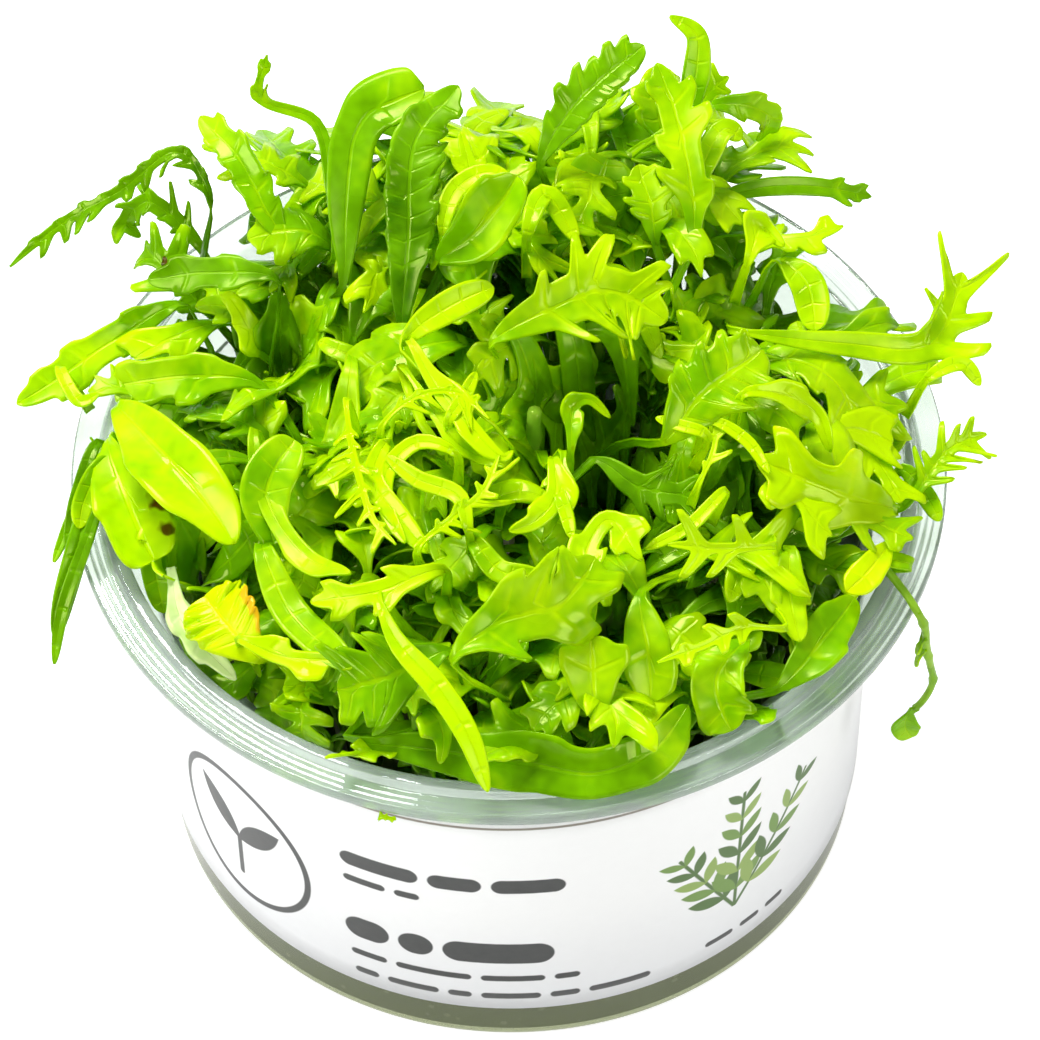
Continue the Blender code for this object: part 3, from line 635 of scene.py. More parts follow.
points, uv = label_surface()
label = make_piece(
    "printed_label", points, grid_quads(LABEL_ROWS, LABEL_COLUMNS)[:, ::-1], label_material(),
    uv=uv, replaces=["label"],
)
add_thickness(label, LABEL_THICKNESS)
print("the label is", round(2 * math.pi * WALL_TOP_RADIUS / MM), "mm round")

# %% [markdown]
# A leaf of this plant is a thin blade on a flat stalk. Its margin runs out in rounded fingers that point
# forwards, with a vein in each. All the leaves here come from one formula: a rib carried along a smooth
# route, and a half width that swells and shrinks along it. The route of each big leaf is read from its
# measured solid, whose rows of points already lie where the leaf does.

# %% Read a leaf's rows from its measured solid
ROW_POINTS = 6


def merged_corners(mesh):
    """The mesh's points with doubles merged, and its edges between them as a table of neighbours."""
    corners = np.empty(len(mesh.vertices) * 3)
    mesh.vertices.foreach_get("co", corners)
    fine = np.round(corners.reshape(-1, 3) / (0.001 * MM)).astype(np.int64)
    places, merged = np.unique(fine, axis=0, return_inverse=True)
    triangles = np.empty(len(mesh.loops), np.int32)
    mesh.loops.foreach_get("vertex_index", triangles)
    triangles = merged.ravel()[triangles].reshape(-1, 3)
    near = np.zeros((len(places), len(places)), bool)
    for a, b in ((0, 1), (1, 2), (2, 0)):
        near[triangles[:, a], triangles[:, b]] = True
        near[triangles[:, b], triangles[:, a]] = True
    return places * 0.001 * MM, near


def rows_from(seed, near):
    """Layers of points, each one edge further from the seed layer, or None where a layer isn't one row."""
    rows = [np.sort(seed)]
    seen = np.zeros(len(near), bool)
    seen[seed] = True
    while not seen.all():
        layer = np.flatnonzero(near[rows[-1]].any(axis=0) & ~seen)
        if len(layer) != ROW_POINTS:
            return None
        seen[layer] = True
        rows.append(layer)
    return rows


def leaf_rows(node):
    """The midrib, side direction and half width of each row of a measured leaf, from its root to its tip.

    A row is a ring of six points: left edge, midrib and right edge, above and below.
    """
    points, near = merged_corners(frame["nodes"][node].data)
    rows = None
    for middle in points:
        rows = rows_from(np.argsort(np.linalg.norm(points - middle, axis=1))[:ROW_POINTS], near)
        if rows:
            break
    rings = points[np.array(rows)]
    rib, side, half, lift = [], [], [], []
    for ring in rings:
        centre = ring.mean(axis=0)
        direction = np.linalg.svd(ring - centre)[2][0]
        if side and direction @ side[-1] < 0:
            direction = -direction
        ordered = ring[np.argsort((ring - centre) @ direction)]
        rib.append(ordered[2:4].mean(axis=0))
        side.append(direction)
        half.append(np.linalg.norm(ordered[4:].mean(axis=0) - ordered[:2].mean(axis=0)) / 2)
        lift.append((ordered[4:].mean(axis=0) + ordered[:2].mean(axis=0)) / 2 - rib[-1])
    rib, side, half, lift = map(np.array, (rib, side, half, lift))
    if half[0] < half[-1]:
        rib, side, half, lift = rib[::-1], side[::-1], half[::-1], lift[::-1]
    side[-1] = side[-2]
    normal = np.cross(side, np.gradient(rib, axis=0))
    if np.sum(normal * lift * half[:, None]) < 0:
        side = -side
    return rib, side, half


BIG_LEAVES = sorted(node for node in frame["nodes"] if node.startswith("leaf_"))
leaf_lines = {node: leaf_rows(node) for node in BIG_LEAVES}
print(len(leaf_lines), "leaves read, with", sum(len(line[0]) for line in leaf_lines.values()), "rows")

# %% [markdown]
# The blade is a grid of rows along the rib and columns across it. Its outline is a smooth strap with a few
# long fingers on each side, at uneven places. A finger sweeps towards the tip and bends up or down on its
# own, as the real ones do. Rows lie closer together at a finger, so that its round end stays smooth.

# %% The leaf formula
STALK_HALF = 0.5 * MM
TIP_HALF = 0.12 * MM
STALK_ROWS = 6
LEAF_THICKNESS = 0.28 * MM
FINGER_WAIST = 0.46
FINGER_BLUNTNESS = 6
FINGER_PAINTED_GLOW = 0.22


def smooth_route(points, count):
    """Evenly spaced points on a smooth curve through the given ones (centripetal Catmull-Rom)."""
    points = np.asarray(points, float)
    knots = np.concatenate([[0], np.cumsum(np.linalg.norm(np.diff(points, axis=0), axis=1) ** 0.5)])
    steps = np.diff(knots)[:, None]
    slopes = np.diff(points, axis=0) / steps
    inner = (slopes[:-1] * steps[1:] + slopes[1:] * steps[:-1]) / (steps[:-1] + steps[1:])
    tangents = np.vstack([slopes[:1], inner, slopes[-1:]])
    at = np.linspace(0, knots[-1], 12 * len(points))
    piece = np.clip(np.searchsorted(knots, at, side="right") - 1, 0, len(points) - 2)
    step = steps[piece]
    s = ((at - knots[piece]) / step[:, 0])[:, None]
    dense = (
        (2 * s**3 - 3 * s**2 + 1) * points[piece]
        + (s**3 - 2 * s**2 + s) * step * tangents[piece]
        + (3 * s**2 - 2 * s**3) * points[piece + 1]
        + (s**3 - s**2) * step * tangents[piece + 1]
    )
    run = run_along(dense)
    even = np.linspace(0, run[-1], count)
    return np.stack([np.interp(even, run, dense[:, axis]) for axis in range(3)], axis=1)


def run_along(points):
    """The distance walked along the points, from the first one."""
    return np.concatenate([[0], np.cumsum(np.linalg.norm(np.diff(points, axis=0), axis=1))])


def unit(vectors):
    return vectors / np.maximum(np.linalg.norm(vectors, axis=-1, keepdims=True), 1e-12)


def read_at(at, run, values):
    """Values along a run at any distances; past the end they go on in the last direction."""
    inside = np.stack([np.interp(at, run, values[:, axis]) for axis in range(3)], axis=-1)
    slope = (values[-1] - values[-4]) / (run[-1] - run[-4])
    return inside + np.maximum(at - run[-1], 0)[..., None] * slope


def finger_places(look, side, rng):
    """For one side: where each finger is along the blade, its length, bend and slant, each its own."""
    count = look["lobes"]
    steps = (np.arange(count) + 0.5 + rng.uniform(-0.28, 0.28, count)) / max(count, 1)
    places = look["first"] + (look["last"] - look["first"]) * steps
    lengths = rng.uniform(0.45, 1.25, count) * look[side]
    return places, lengths, rng.uniform(-1, 1, count), rng.uniform(0.4, 1.7, count)


def finger_width(look):
    """Half the width of a finger's foot, as a share of the blade's length."""
    return 0.85 * look["finger"] * (look["last"] - look["first"]) / max(look["lobes"], 1)


def rows_near_fingers(places, width, count):
    """Shares along a blade, packed closer by a bell round each finger and round the tip."""
    even = np.linspace(0, 1, 400)
    x = (even[:, None] - np.append(places, 1.0)) / width
    crowd = 1 + 3.5 * np.exp(-(x**2)).sum(axis=1)
    total = np.concatenate([[0], np.cumsum((crowd[1:] + crowd[:-1]) / 2)])
    return np.interp(np.linspace(0, total[-1], count), total, even)


def blade_share(t, look):
    """The strap itself: a quarter sine up to its widest place, then a fall to a blunt tip."""
    rise = np.clip(t / look["widest"], 0, 1)
    fall = np.clip((t - look["widest"]) / (1 - look["widest"]), 0, 1)
    return np.sin(rise * math.pi / 2) ** look["base"] * (1 - fall ** look["tip"]) ** 0.5


def half_outline(t, look, fingers):
    """For one side: the strap, what the fingers add, the bend, the slant and the vein number at each row.

    A finger adds its length times 1 / (1 + |x / waist|^6), less the value of that at its foot, where x is
    the distance from its place over half its foot's width. So its end is round, and its flanks run out
    hollow into the strap. The strap and the fingers share the half width by the depth.
    """
    places, lengths, bends, slants = fingers
    strap = blade_share(t, look) * (1 - look["depth"])
    if not len(places):
        return strap, np.zeros_like(t), np.zeros_like(t), np.ones_like(t), 0.5 + 5 * t
    x = np.abs(t[:, None] - places) / finger_width(look)
    foot = 1 / (1 + FINGER_WAIST**-FINGER_BLUNTNESS)
    bumps = np.clip((1 / (1 + (x / FINGER_WAIST) ** FINGER_BLUNTNESS) - foot) / (1 - foot), 0, None)
    reach = lengths * np.maximum(blade_share(places, look), 0.5) * look["depth"]
    added = (bumps * reach).max(axis=1)
    numbers = np.arange(len(places) + 2.0)
    vein = np.interp(t, np.concatenate([[0], places, [1]]), numbers)
    slant = (bumps * slants).sum(axis=1) / np.maximum(bumps.sum(axis=1), 0.01)
    return strap, added, (bumps * bends).sum(axis=1), slant, vein


def blemish_at(marks, along, across):
    """How spoilt the skin is: a bell for each mark, from its place along and across and its two sizes."""
    spoilt = np.zeros(np.broadcast_shapes(along.shape, across.shape))
    for place, aside, length, width in marks:
        spoilt = spoilt + np.exp(-(((along - place) / length) ** 2) - ((across - aside) / width) ** 2)
    return spoilt


def leaf_surface(rib, side, start, look, rng, rows, columns):
    """One leaf as a grid of points, with its tone, vein number, place across and blemish at each point.

    The point at share v across a row is the rib, read a little further on by the sweep, plus v times the
    half width sideways, lifted by fold and cup and waved by ruffle. Fingers sweep more than the strap.
    """
    run = run_along(rib)
    fingers = [finger_places(look, side_name, rng) for side_name in ("left", "right")]
    t = rows_near_fingers(np.concatenate([fingers[0][0], fingers[1][0]]), finger_width(look), rows)
    stalk = np.linspace(0, start, STALK_ROWS, endpoint=False)
    along = np.concatenate([stalk, start + t * (run[-1] - start)])
    across = np.linspace(-1, 1, columns)[None, :]
    by_side = []
    for one in fingers:
        strap, added, bend, slant, vein = half_outline(t, look, one)
        strap = np.maximum(strap * look["half"], TIP_HALF)
        strap = np.maximum(strap, STALK_HALF * (1 - t) ** 3)
        by_side.append([
            np.concatenate([np.linspace(1.3, 1, STALK_ROWS) * STALK_HALF, strap]),
            np.concatenate([np.zeros(STALK_ROWS), added * look["half"]]),
            np.concatenate([np.zeros(STALK_ROWS), bend]),
            np.concatenate([np.ones(STALK_ROWS), slant]),
            np.concatenate([np.zeros(STALK_ROWS), vein]),
        ])
    strap, added, bend, slant, vein = (
        np.where(across < 0, left[:, None], right[:, None]) for left, right in zip(*by_side)
    )
    half, out = strap + added, np.abs(across)
    swept = along[:, None] + look["sweep"] * slant * added * out**1.3 + 0.35 * np.maximum(strap - STALK_HALF, 0) * out
    middle = read_at(swept, run, rib)
    sideways = unit(read_at(along, run, side))
    tangent = unit(np.gradient(read_at(along, run, rib), axis=0))
    sideways = unit(sideways - np.sum(sideways * tangent, axis=1, keepdims=True) * tangent)
    normal = np.cross(sideways, tangent)
    twist = np.radians(look["twist"]) * (along / run[-1]) ** 2
    sideways, normal = (
        sideways * np.cos(twist)[:, None] + normal * np.sin(twist)[:, None],
        normal * np.cos(twist)[:, None] - sideways * np.sin(twist)[:, None],
    )
    phase = 2 * math.pi * (look["waves"] * along / run[-1] + rng.uniform(0, 1))[:, None]
    waves = np.sin(phase + 1.3 * np.sign(across))
    lift = look["fold"] * out + (look["cup"] + look["curl"] * bend) * out**2 + look["ruffle"] * waves * out**2
    points = middle + (across * half)[..., None] * sideways[:, None] + (lift * half)[..., None] * normal[:, None]
    towards_tip = np.clip((along - start) / (run[-1] - start), 0, 1)[:, None]
    # painted light: the ends of the fingers are painted brighter, a glow painted into the tone
    tone = look["tone"] + look["tip_tone"] * towards_tip**2 + FINGER_PAINTED_GLOW * added / look["half"] * out
    blemish = blemish_at(look["blemishes"], towards_tip, across)
    across = np.broadcast_to(across, vein.shape)
    return {"points": points, "tone": tone, "vein": vein, "across": across, "blemish": blemish}


USUAL_LOOK = {
    "half": 3 * MM, "lobes": 3, "depth": 0.45, "finger": 0.6, "tone": 0.5, "tip_tone": 0.2, "sweep": 0.8,
    "fold": 0.18, "cup": 0.05, "curl": 0.3, "ruffle": 0.12, "waves": 1.7, "twist": 0.0, "base": 0.75,
    "tip": 2.4, "widest": 0.5, "first": 0.2, "last": 0.92, "left": 1.0, "right": 1.0,
    "blemishes": (),
}


def join_surfaces(surfaces):
    """Several grids as one set of points, quads and values."""
    first = 0
    points, quads = [], []
    for surface in surfaces:
        rows, columns = surface["points"].shape[:2]
        quads.append(grid_quads(rows, columns) + first)
        points.append(surface["points"].reshape(-1, 3))
        first += rows * columns
    keys = ("tone", "vein", "across", "blemish")
    values = {key: np.concatenate([surface[key].ravel() for surface in surfaces]) for key in keys}
    return np.concatenate(points), np.concatenate(quads), values


print("a leaf is a grid with", STALK_ROWS, "rows on its stalk")

# %% [markdown]
# Fresh, wet leaf has a bright yellow-green skin, paler veins, fine cells and a film of water that shines.
# Light also comes through the thin blade, which is what makes the crown glow. The pattern is one shader
# group with its own inputs, and each kind of leaf places it with its own colours.

# %% The leaf skin
def build_leaf_pattern():
    """Group: tone, vein number, place across and blemish in; colour, roughness and height out."""
    tree = bpy.data.node_groups.new("leaf_pattern", "ShaderNodeTree")
    for name, kind in (
        ("Tone", "NodeSocketFloat"), ("Vein", "NodeSocketFloat"), ("Across", "NodeSocketFloat"),
        ("Blemish", "NodeSocketFloat"), ("Dark", "NodeSocketColor"), ("Middle", "NodeSocketColor"),
        ("Bright", "NodeSocketColor"), ("Blemish Color", "NodeSocketColor"),
    ):
        tree.interface.new_socket(name, in_out="INPUT", socket_type=kind)
    for name, kind in (("Color", "NodeSocketColor"), ("Roughness", "NodeSocketFloat"), ("Height", "NodeSocketFloat")):
        tree.interface.new_socket(name, in_out="OUTPUT", socket_type=kind)
    given = add_node(tree, "NodeGroupInput").outputs
    place = add_node(tree, "ShaderNodeTexCoord").outputs["Object"]
    patches = add_node(tree, "ShaderNodeTexNoise", {"Vector": place, "Scale": 150.0, "Detail": 1.0}).outputs["Fac"]
    mottle = add_node(tree, "ShaderNodeTexNoise", {"Vector": place, "Scale": 900.0, "Detail": 0.0}).outputs["Fac"]
    off_vein = math_node(tree, "ABSOLUTE", math_node(tree, "SUBTRACT", math_node(tree, "FRACT", given["Vein"]), 0.5))
    off_middle = math_node(tree, "ABSOLUTE", given["Across"])
    side_line = add_node(
        tree, "ShaderNodeMapRange", {"Value": off_vein, "From Min": 0.41, "From Max": 0.5, "To Min": 0.0, "To Max": 1.0},
        interpolation_type="SMOOTHSTEP",
    ).outputs["Result"]
    inner = add_node(
        tree, "ShaderNodeMapRange", {"Value": off_middle, "From Min": 0.55, "From Max": 0.9, "To Min": 1.0, "To Max": 0.0}
    ).outputs["Result"]
    midrib = add_node(
        tree, "ShaderNodeMapRange", {"Value": off_middle, "From Min": 0.03, "From Max": 0.11, "To Min": 1.0, "To Max": 0.0},
        interpolation_type="SMOOTHSTEP",
    ).outputs["Result"]
    veins = math_node(tree, "MAXIMUM", math_node(tree, "MULTIPLY", side_line, inner), midrib)
    margin = add_node(
        tree, "ShaderNodeMapRange", {"Value": off_middle, "From Min": 0.86, "From Max": 0.98, "To Min": 0.0, "To Max": 1.0},
        interpolation_type="SMOOTHSTEP",
    ).outputs["Result"]
    shade = given["Tone"]
    for pattern, middle, amount in (
        (patches, 0.5, 0.8), (mottle, 0.5, 0.25), (veins, 0.0, 0.13), (margin, 0.0, 0.06),
    ):
        off = math_node(tree, "MULTIPLY", math_node(tree, "SUBTRACT", pattern, middle), amount)
        shade = math_node(tree, "ADD", shade, off)
    low_half = mix_colours(tree, math_node(tree, "MULTIPLY", shade, 2.0, clamp=True), given["Dark"], given["Middle"])
    high_half = math_node(tree, "SUBTRACT", math_node(tree, "MULTIPLY", shade, 2.0), 1.0, clamp=True)
    colour = mix_colours(tree, high_half, low_half, given["Bright"])
    rough_blemish = math_node(tree, "ADD", given["Blemish"], math_node(tree, "MULTIPLY", math_node(tree, "SUBTRACT", mottle, 0.5), 0.8))
    spot = add_node(tree, "ShaderNodeMapRange", {"Value": rough_blemish, "From Min": 0.3, "From Max": 0.55}).outputs["Result"]
    colour = mix_colours(tree, spot, colour, given["Blemish Color"])
    height = math_node(tree, "MULTIPLY", patches, 0.8)
    height = math_node(tree, "SUBTRACT", height, math_node(tree, "MULTIPLY", veins, 0.5))
    rough = add_node(
        tree, "ShaderNodeMapRange", {"Value": patches, "From Min": 0.35, "From Max": 0.65, "To Min": 0.12, "To Max": 0.32}
    ).outputs["Result"]
    add_node(tree, "NodeGroupOutput", {"Color": colour, "Roughness": rough, "Height": height})
    return tree


LEAF_PATTERN = build_leaf_pattern()
THROUGH_LIGHT = 0.3
WET_TINT = (0.95, 1.0, 0.3)
BROWN = (0.10, 0.012, 0.0)
ORANGE = (0.95, 0.5, 0.01)


def leaf_material(name, dark, middle, bright, through, blemish=BROWN):
    """Wet leaf: the pattern on a glossy skin, mixed with light that comes through the blade."""
    material, tree, shader = new_material(name)
    skin = add_node(tree, "ShaderNodeGroup", node_tree=LEAF_PATTERN)
    for key, socket in (("tone", "Tone"), ("vein", "Vein"), ("across", "Across"), ("blemish", "Blemish")):
        read = add_node(tree, "ShaderNodeAttribute", attribute_name=key)
        tree.links.new(read.outputs["Fac"], skin.inputs[socket])
    for key, colour in (("Dark", dark), ("Middle", middle), ("Bright", bright), ("Blemish Color", blemish)):
        skin.inputs[key].default_value = (*colour, 1)
    bump = add_node(tree, "ShaderNodeBump", {"Height": skin.outputs["Height"], "Strength": 0.6, "Distance": 0.00025})
    tree.links.new(skin.outputs["Color"], shader.inputs["Base Color"])
    tree.links.new(skin.outputs["Roughness"], shader.inputs["Roughness"])
    tree.links.new(bump.outputs["Normal"], shader.inputs["Normal"])
    shader.inputs["Specular Tint"].default_value = (*WET_TINT, 1)
    glow = add_node(tree, "ShaderNodeBsdfTranslucent", {"Color": (*through, 1), "Normal": bump.outputs["Normal"]})
    both = add_node(tree, "ShaderNodeMixShader", {0: THROUGH_LIGHT, 1: shader.outputs["BSDF"], 2: glow.outputs["BSDF"]})
    tree.links.new(both.outputs["Shader"], tree.nodes["Material Output"].inputs["Surface"])
    return material


GREEN_SKIN = leaf_material("leaf_green", (0.03, 0.13, 0.0), (0.22, 0.52, 0.0), (0.66, 0.93, 0.0), (0.62, 0.98, 0.005))
YELLOW_SKIN = leaf_material("leaf_yellow", (0.30, 0.58, 0.0), (0.60, 0.88, 0.0), (0.88, 0.98, 0.0), (0.85, 1.0, 0.01), ORANGE)
STEM_SKIN = leaf_material("stem_green", (0.03, 0.12, 0.0), (0.24, 0.48, 0.02), (0.55, 0.80, 0.08), (0.6, 0.9, 0.05))
# whitish colours painted to stand in for the shine of light on a wet leaf: a painted sheen
SHEEN_PAINTED_SKIN = leaf_material("leaf_painted_sheen", (0.18, 0.42, 0.03), (0.45, 0.70, 0.14), (0.84, 0.95, 0.48), (0.6, 0.85, 0.2))
print("four kinds of wet skin share one pattern")

# %% [markdown]
# The ribs of the big leaves all lie on the top of the crown, so a smooth field through them gives its
# height anywhere. The small leaves use it to stay just under the big ones. Every leaf also gets painted
# shade in its colour: the deeper it lies below the crown, the darker it is painted.

# %% The height of the crown
CROWN_SPREAD = 7 * MM
CROWN_HALF = 60 * MM
CROWN_CELLS = 61
RIM_LEVEL = 57 * MM
WALL_CLEARANCE = 0.5 * MM
SOFT_LIMIT = 3 * MM
PETIOLE_ROWS = 2
PAINTED_SHADE_PER_MM = 0.05
DEEPEST_PAINTED_SHADE = 14 * MM
# where the crown opens and its stalks show: place (mm), radius (mm) and depth (mm)
HOLLOWS = [
    (10, -3, 8, 22), (5, -23.5, 5, 14), (12.5, -14, 4.5, 12), (21.5, -11, 4, 10), (29, -33, 4.5, 10),
    (-30, -20, 4, 8), (-20, -31, 4, 10), (-20, -3, 4, 7), (-12, 10, 4, 7), (-25, 11, 4.5, 12),
    (-36, -15, 4, 12),
]

crown_points = np.concatenate([
    line[0][PETIOLE_ROWS:] for node, line in leaf_lines.items() if node != "leaf_hanging_end"
])


def crown_cells():
    """The mean height of the big leaves near each cell of a square grid, weighted by a bell of distance."""
    line = np.linspace(-CROWN_HALF, CROWN_HALF, CROWN_CELLS)
    x, y = np.meshgrid(line, line, indexing="ij")
    far = np.hypot(x[..., None] - crown_points[:, 0], y[..., None] - crown_points[:, 1])
    weight = np.exp(-((far / CROWN_SPREAD) ** 2)) + 1e-9
    return (weight * crown_points[:, 2]).sum(axis=-1) / weight.sum(axis=-1)


CROWN = crown_cells()


def crown_height(x, y):
    """The height at any places, mixed from the four cells round each."""
    across = np.clip((np.asarray(x) / CROWN_HALF + 1) / 2, 0, 0.9999) * (CROWN_CELLS - 1)
    deep = np.clip((np.asarray(y) / CROWN_HALF + 1) / 2, 0, 0.9999) * (CROWN_CELLS - 1)
    i, j = across.astype(int), deep.astype(int)
    u, v = across - i, deep - j
    near = CROWN[i, j] * (1 - u) + CROWN[i + 1, j] * u
    far = CROWN[i, j + 1] * (1 - u) + CROWN[i + 1, j + 1] * u
    return near * (1 - v) + far * v


def hollow_depth(x, y):
    """How far the hollows press the small leaves down at a place: a bell for each hollow."""
    return sum(
        depth * MM * np.exp(-(((x - a * MM) ** 2 + (y - b * MM) ** 2) / (radius * MM) ** 2))
        for a, b, radius, depth in HOLLOWS
    )


def soft_limit(values, limit):
    """Values that near their limit grow slower and never pass it."""
    over = np.maximum(values - (limit - SOFT_LIMIT), 0)
    return np.where(over > 0, limit - SOFT_LIMIT * np.exp(-over / SOFT_LIMIT), values)


def inner_limit(height):
    """How far from the axis a plant may reach at each height: the wall, the collar, then free."""
    levels = np.array([0, SHOULDER_LOW, SHOULDER_TOP + 0.5 * MM, RIM_LEVEL, RIM_LEVEL + 4 * MM])
    radii = np.array([WALL_LOW_RADIUS, WALL_TOP_RADIUS, COLLAR_RADIUS, COLLAR_RADIUS, COLLAR_RADIUS + 6 * MM])
    return np.interp(height, levels, radii) - WALL - WALL_CLEARANCE


def keep_inside(points, above_crown):
    """Presses points softly against the inside of the cup, and under the crown's height plus an allowance."""
    radius = np.linalg.norm(points[..., :2], axis=-1)
    share = soft_limit(radius, inner_limit(points[..., 2])) / np.maximum(radius, 1e-9)
    x, y = points[..., 0] * share, points[..., 1] * share
    top = crown_height(x, y) - hollow_depth(x, y) + above_crown
    return np.stack([x, y, soft_limit(points[..., 2], top)], axis=-1)


def paint_shade_by_depth(surface):
    """Paints shade into the colour: lowers the tone by the depth of each point below the crown."""
    x, y, z = np.moveaxis(surface["points"], -1, 0)
    depth = np.clip(crown_height(x, y) - z, 0, DEEPEST_PAINTED_SHADE)
    surface["tone"] = surface["tone"] - PAINTED_SHADE_PER_MM * depth / MM
    return surface


print("the crown is", round(float(crown_height(0, 0)) / MM), "mm high in the middle")

# %% [markdown]
# The big leaves are the ones that the photo shows one by one. Each keeps its own count of fingers, their
# depth and width, its tone from dark to bright, and a curl or twist where it has one.

# %% The big leaves
LEAF_LOOKS = {
    "leaf_front_rim": dict(lobes=2, depth=0.2, tone=0.5, ruffle=0.2),
    "leaf_front_broad": dict(lobes=4, depth=0.5, tone=0.42, finger=0.9, half=6.0 * MM),
    "leaf_front_strap": dict(lobes=0, depth=0, tone=0.9, fold=0.35),
    "leaf_front_glossy": dict(lobes=3, depth=0.5, tone=0.6, finger=0.7, half=6.0 * MM, ruffle=0.3),
    "leaf_front_triangle": dict(lobes=1, depth=0.3, tone=0.6),
    "leaf_front_right_glossy": dict(lobes=1, depth=0.2, tone=0.6),
    "leaf_finger_right": dict(lobes=3, depth=0.75, tone=1.0, finger=0.45),
    "leaf_star_right": dict(lobes=2, depth=0.85, tone=1.05, finger=0.4, half=4.0 * MM),
    "leaf_yellow_curl_right": dict(lobes=1, depth=0.2, tone=0.5),
    "leaf_yellow_right": dict(
        lobes=2, depth=0.5, tone=0.35, finger=0.6, ruffle=0.4, waves=2.6, half=5.4 * MM, widest=0.35, tip=1.6,
    ),
    "leaf_curly_right": dict(lobes=5, depth=0.75, tone=0.6, finger=0.5, ruffle=0.4, half=3.2 * MM),
    "leaf_broad_low_right": dict(lobes=2, depth=0.25, tone=0.6),
    "leaf_rim_right": dict(lobes=1, depth=0.2, tone=0.55),
    "leaf_strap_centre": dict(lobes=1, depth=0.55, tone=0.9),
    "leaf_star_centre": dict(lobes=2, depth=0.75, tone=0.8, finger=0.45),
    "leaf_spoon_centre": dict(lobes=0, depth=0, tone=0.85, widest=0.6),
    "leaf_lobed_centre": dict(lobes=5, depth=0.58, tone=0.7, finger=0.55, half=6.6 * MM, first=0.3, sweep=0.6),
    "leaf_broad_centre_right": dict(lobes=5, depth=0.3, tone=0.6, finger=0.6, ruffle=0.3, waves=3),
    "leaf_green_centre": dict(lobes=3, depth=0.65, tone=0.3, finger=0.45, half=4.4 * MM, first=0.4, last=1.0),
    "leaf_curly_centre": dict(lobes=6, depth=0.8, tone=1.0, finger=0.4, twist=40),
    "leaf_oval_left": dict(lobes=0, depth=0, tone=0.55, fold=0.35),
    "leaf_low_left": dict(
        lobes=1, depth=0.25, tone=0.8, half=4.5 * MM, widest=0.7, tip=4.0, ruffle=0.2,
        blemishes=[(0.55, -0.85, 0.12, 0.3), (0.8, -0.8, 0.06, 0.25)],
    ),
    "leaf_big_left": dict(lobes=1, depth=0.25, tone=0.8, finger=0.8, fold=0.35, half=4.2 * MM, widest=0.4, tip=2.0),
    "leaf_veined_left": dict(lobes=2, depth=0.3, tone=0.62),
    "leaf_trailing_left": dict(lobes=0, depth=0, tone=0.25, fold=0.5, half=1.3 * MM),
    "leaf_tip_left": dict(lobes=3, depth=0.35, tone=0.6),
    "leaf_yellow_left": dict(
        lobes=5, depth=0.16, finger=0.8, tone=0.6, ruffle=0.25, waves=4, half=4.4 * MM,
        blemishes=[(0.35, 1.0, 0.22, 0.35)],
    ),
    "leaf_fan_right": dict(
        lobes=3, depth=0.72, tone=0.75, finger=0.48, sweep=1.2, widest=0.75, first=0.64, last=0.96, half=6.5 * MM,
    ),
    "leaf_tongue_right": dict(lobes=0, depth=0, tone=0.75),
    "leaf_long_dark_right": dict(lobes=2, depth=0.45, tone=0.3, finger=0.6, first=0.75, last=1.0),
    "leaf_upright_lobed": dict(lobes=3, depth=0.5, tone=0.65),
    "leaf_stalk_back_right": dict(lobes=3, depth=0.5, tone=0.62),
    "leaf_star_top_right": dict(lobes=2, depth=0.7, tone=0.6, finger=0.5),
    "leaf_square_top_right": dict(lobes=2, depth=0.35, tone=0.5),
    "leaf_hook_top_right": dict(lobes=0, depth=0, tone=0.45, tip=1.2, widest=0.4),
    "leaf_tall_serrated": dict(lobes=8, depth=0.28, tone=0.2, finger=0.8, left=0.2),
    "leaf_folded_back": dict(lobes=1, depth=0.2, tone=0.6, fold=0.6, half=3.6 * MM),
    "leaf_oval_dark_back": dict(lobes=0, depth=0, tone=0.45),
    "leaf_serrated_back": dict(lobes=6, depth=0.3, tone=0.3, finger=0.8, right=0.3),
    "leaf_broad_back_left": dict(
        lobes=1, depth=0.45, tone=0.3, finger=1.5, first=0.7, last=0.92, left=0.6, right=0.3, half=4.7 * MM, widest=0.6,
    ),
    "leaf_lance_left": dict(lobes=4, depth=0.4, tone=0.5, left=0.3, half=2.9 * MM),
    "leaf_curl_tip_back": dict(lobes=2, depth=0.6, tone=0.45, finger=0.5, first=0.75, last=1.0, half=1.7 * MM),
    "leaf_fern_left": dict(lobes=9, depth=0.7, tone=0.22, finger=0.55, right=0.25, ruffle=0.3, waves=5),
    "leaf_dark_left": dict(lobes=2, depth=0.3, tone=0.2),
    "leaf_back_rim_left": dict(lobes=3, depth=0.45, tone=0.5),
    "leaf_back_rim_middle": dict(lobes=3, depth=0.45, tone=0.55),
    "leaf_back_rim_right": dict(lobes=3, depth=0.4, tone=0.5),
    "leaf_back_trailing": dict(lobes=3, depth=0.55, tone=0.55),
    "leaf_hanging_end": dict(lobes=0, depth=0, tone=0.4, widest=0.5, tip=1.3, half=1.7 * MM, fold=0.3),
}
BLADE_ROWS = 40
ROWS_PER_FINGER = 15


def big_leaf(node, order):
    """One big leaf along the rows of its measured solid."""
    rib, side, half = leaf_lines[node]
    look = {**USUAL_LOOK, "half": 1.06 * half.max(), **LEAF_LOOKS.get(node, {})}
    route = smooth_route(rib, 100)
    run = run_along(route)
    at = run[[np.linalg.norm(route - point, axis=1).argmin() for point in rib]]
    sides = np.stack([np.interp(run, at, side[:, axis]) for axis in range(3)], axis=1)
    hanging = node == "leaf_hanging_end"
    start = at[1 if hanging else PETIOLE_ROWS]
    rows = BLADE_ROWS + ROWS_PER_FINGER * look["lobes"]
    surface = leaf_surface(route, sides, start, look, np.random.default_rng(100 + order), rows, 11)
    # every big leaf but the hanging one gets painted shade by its depth below the crown
    return surface if hanging else paint_shade_by_depth(surface)


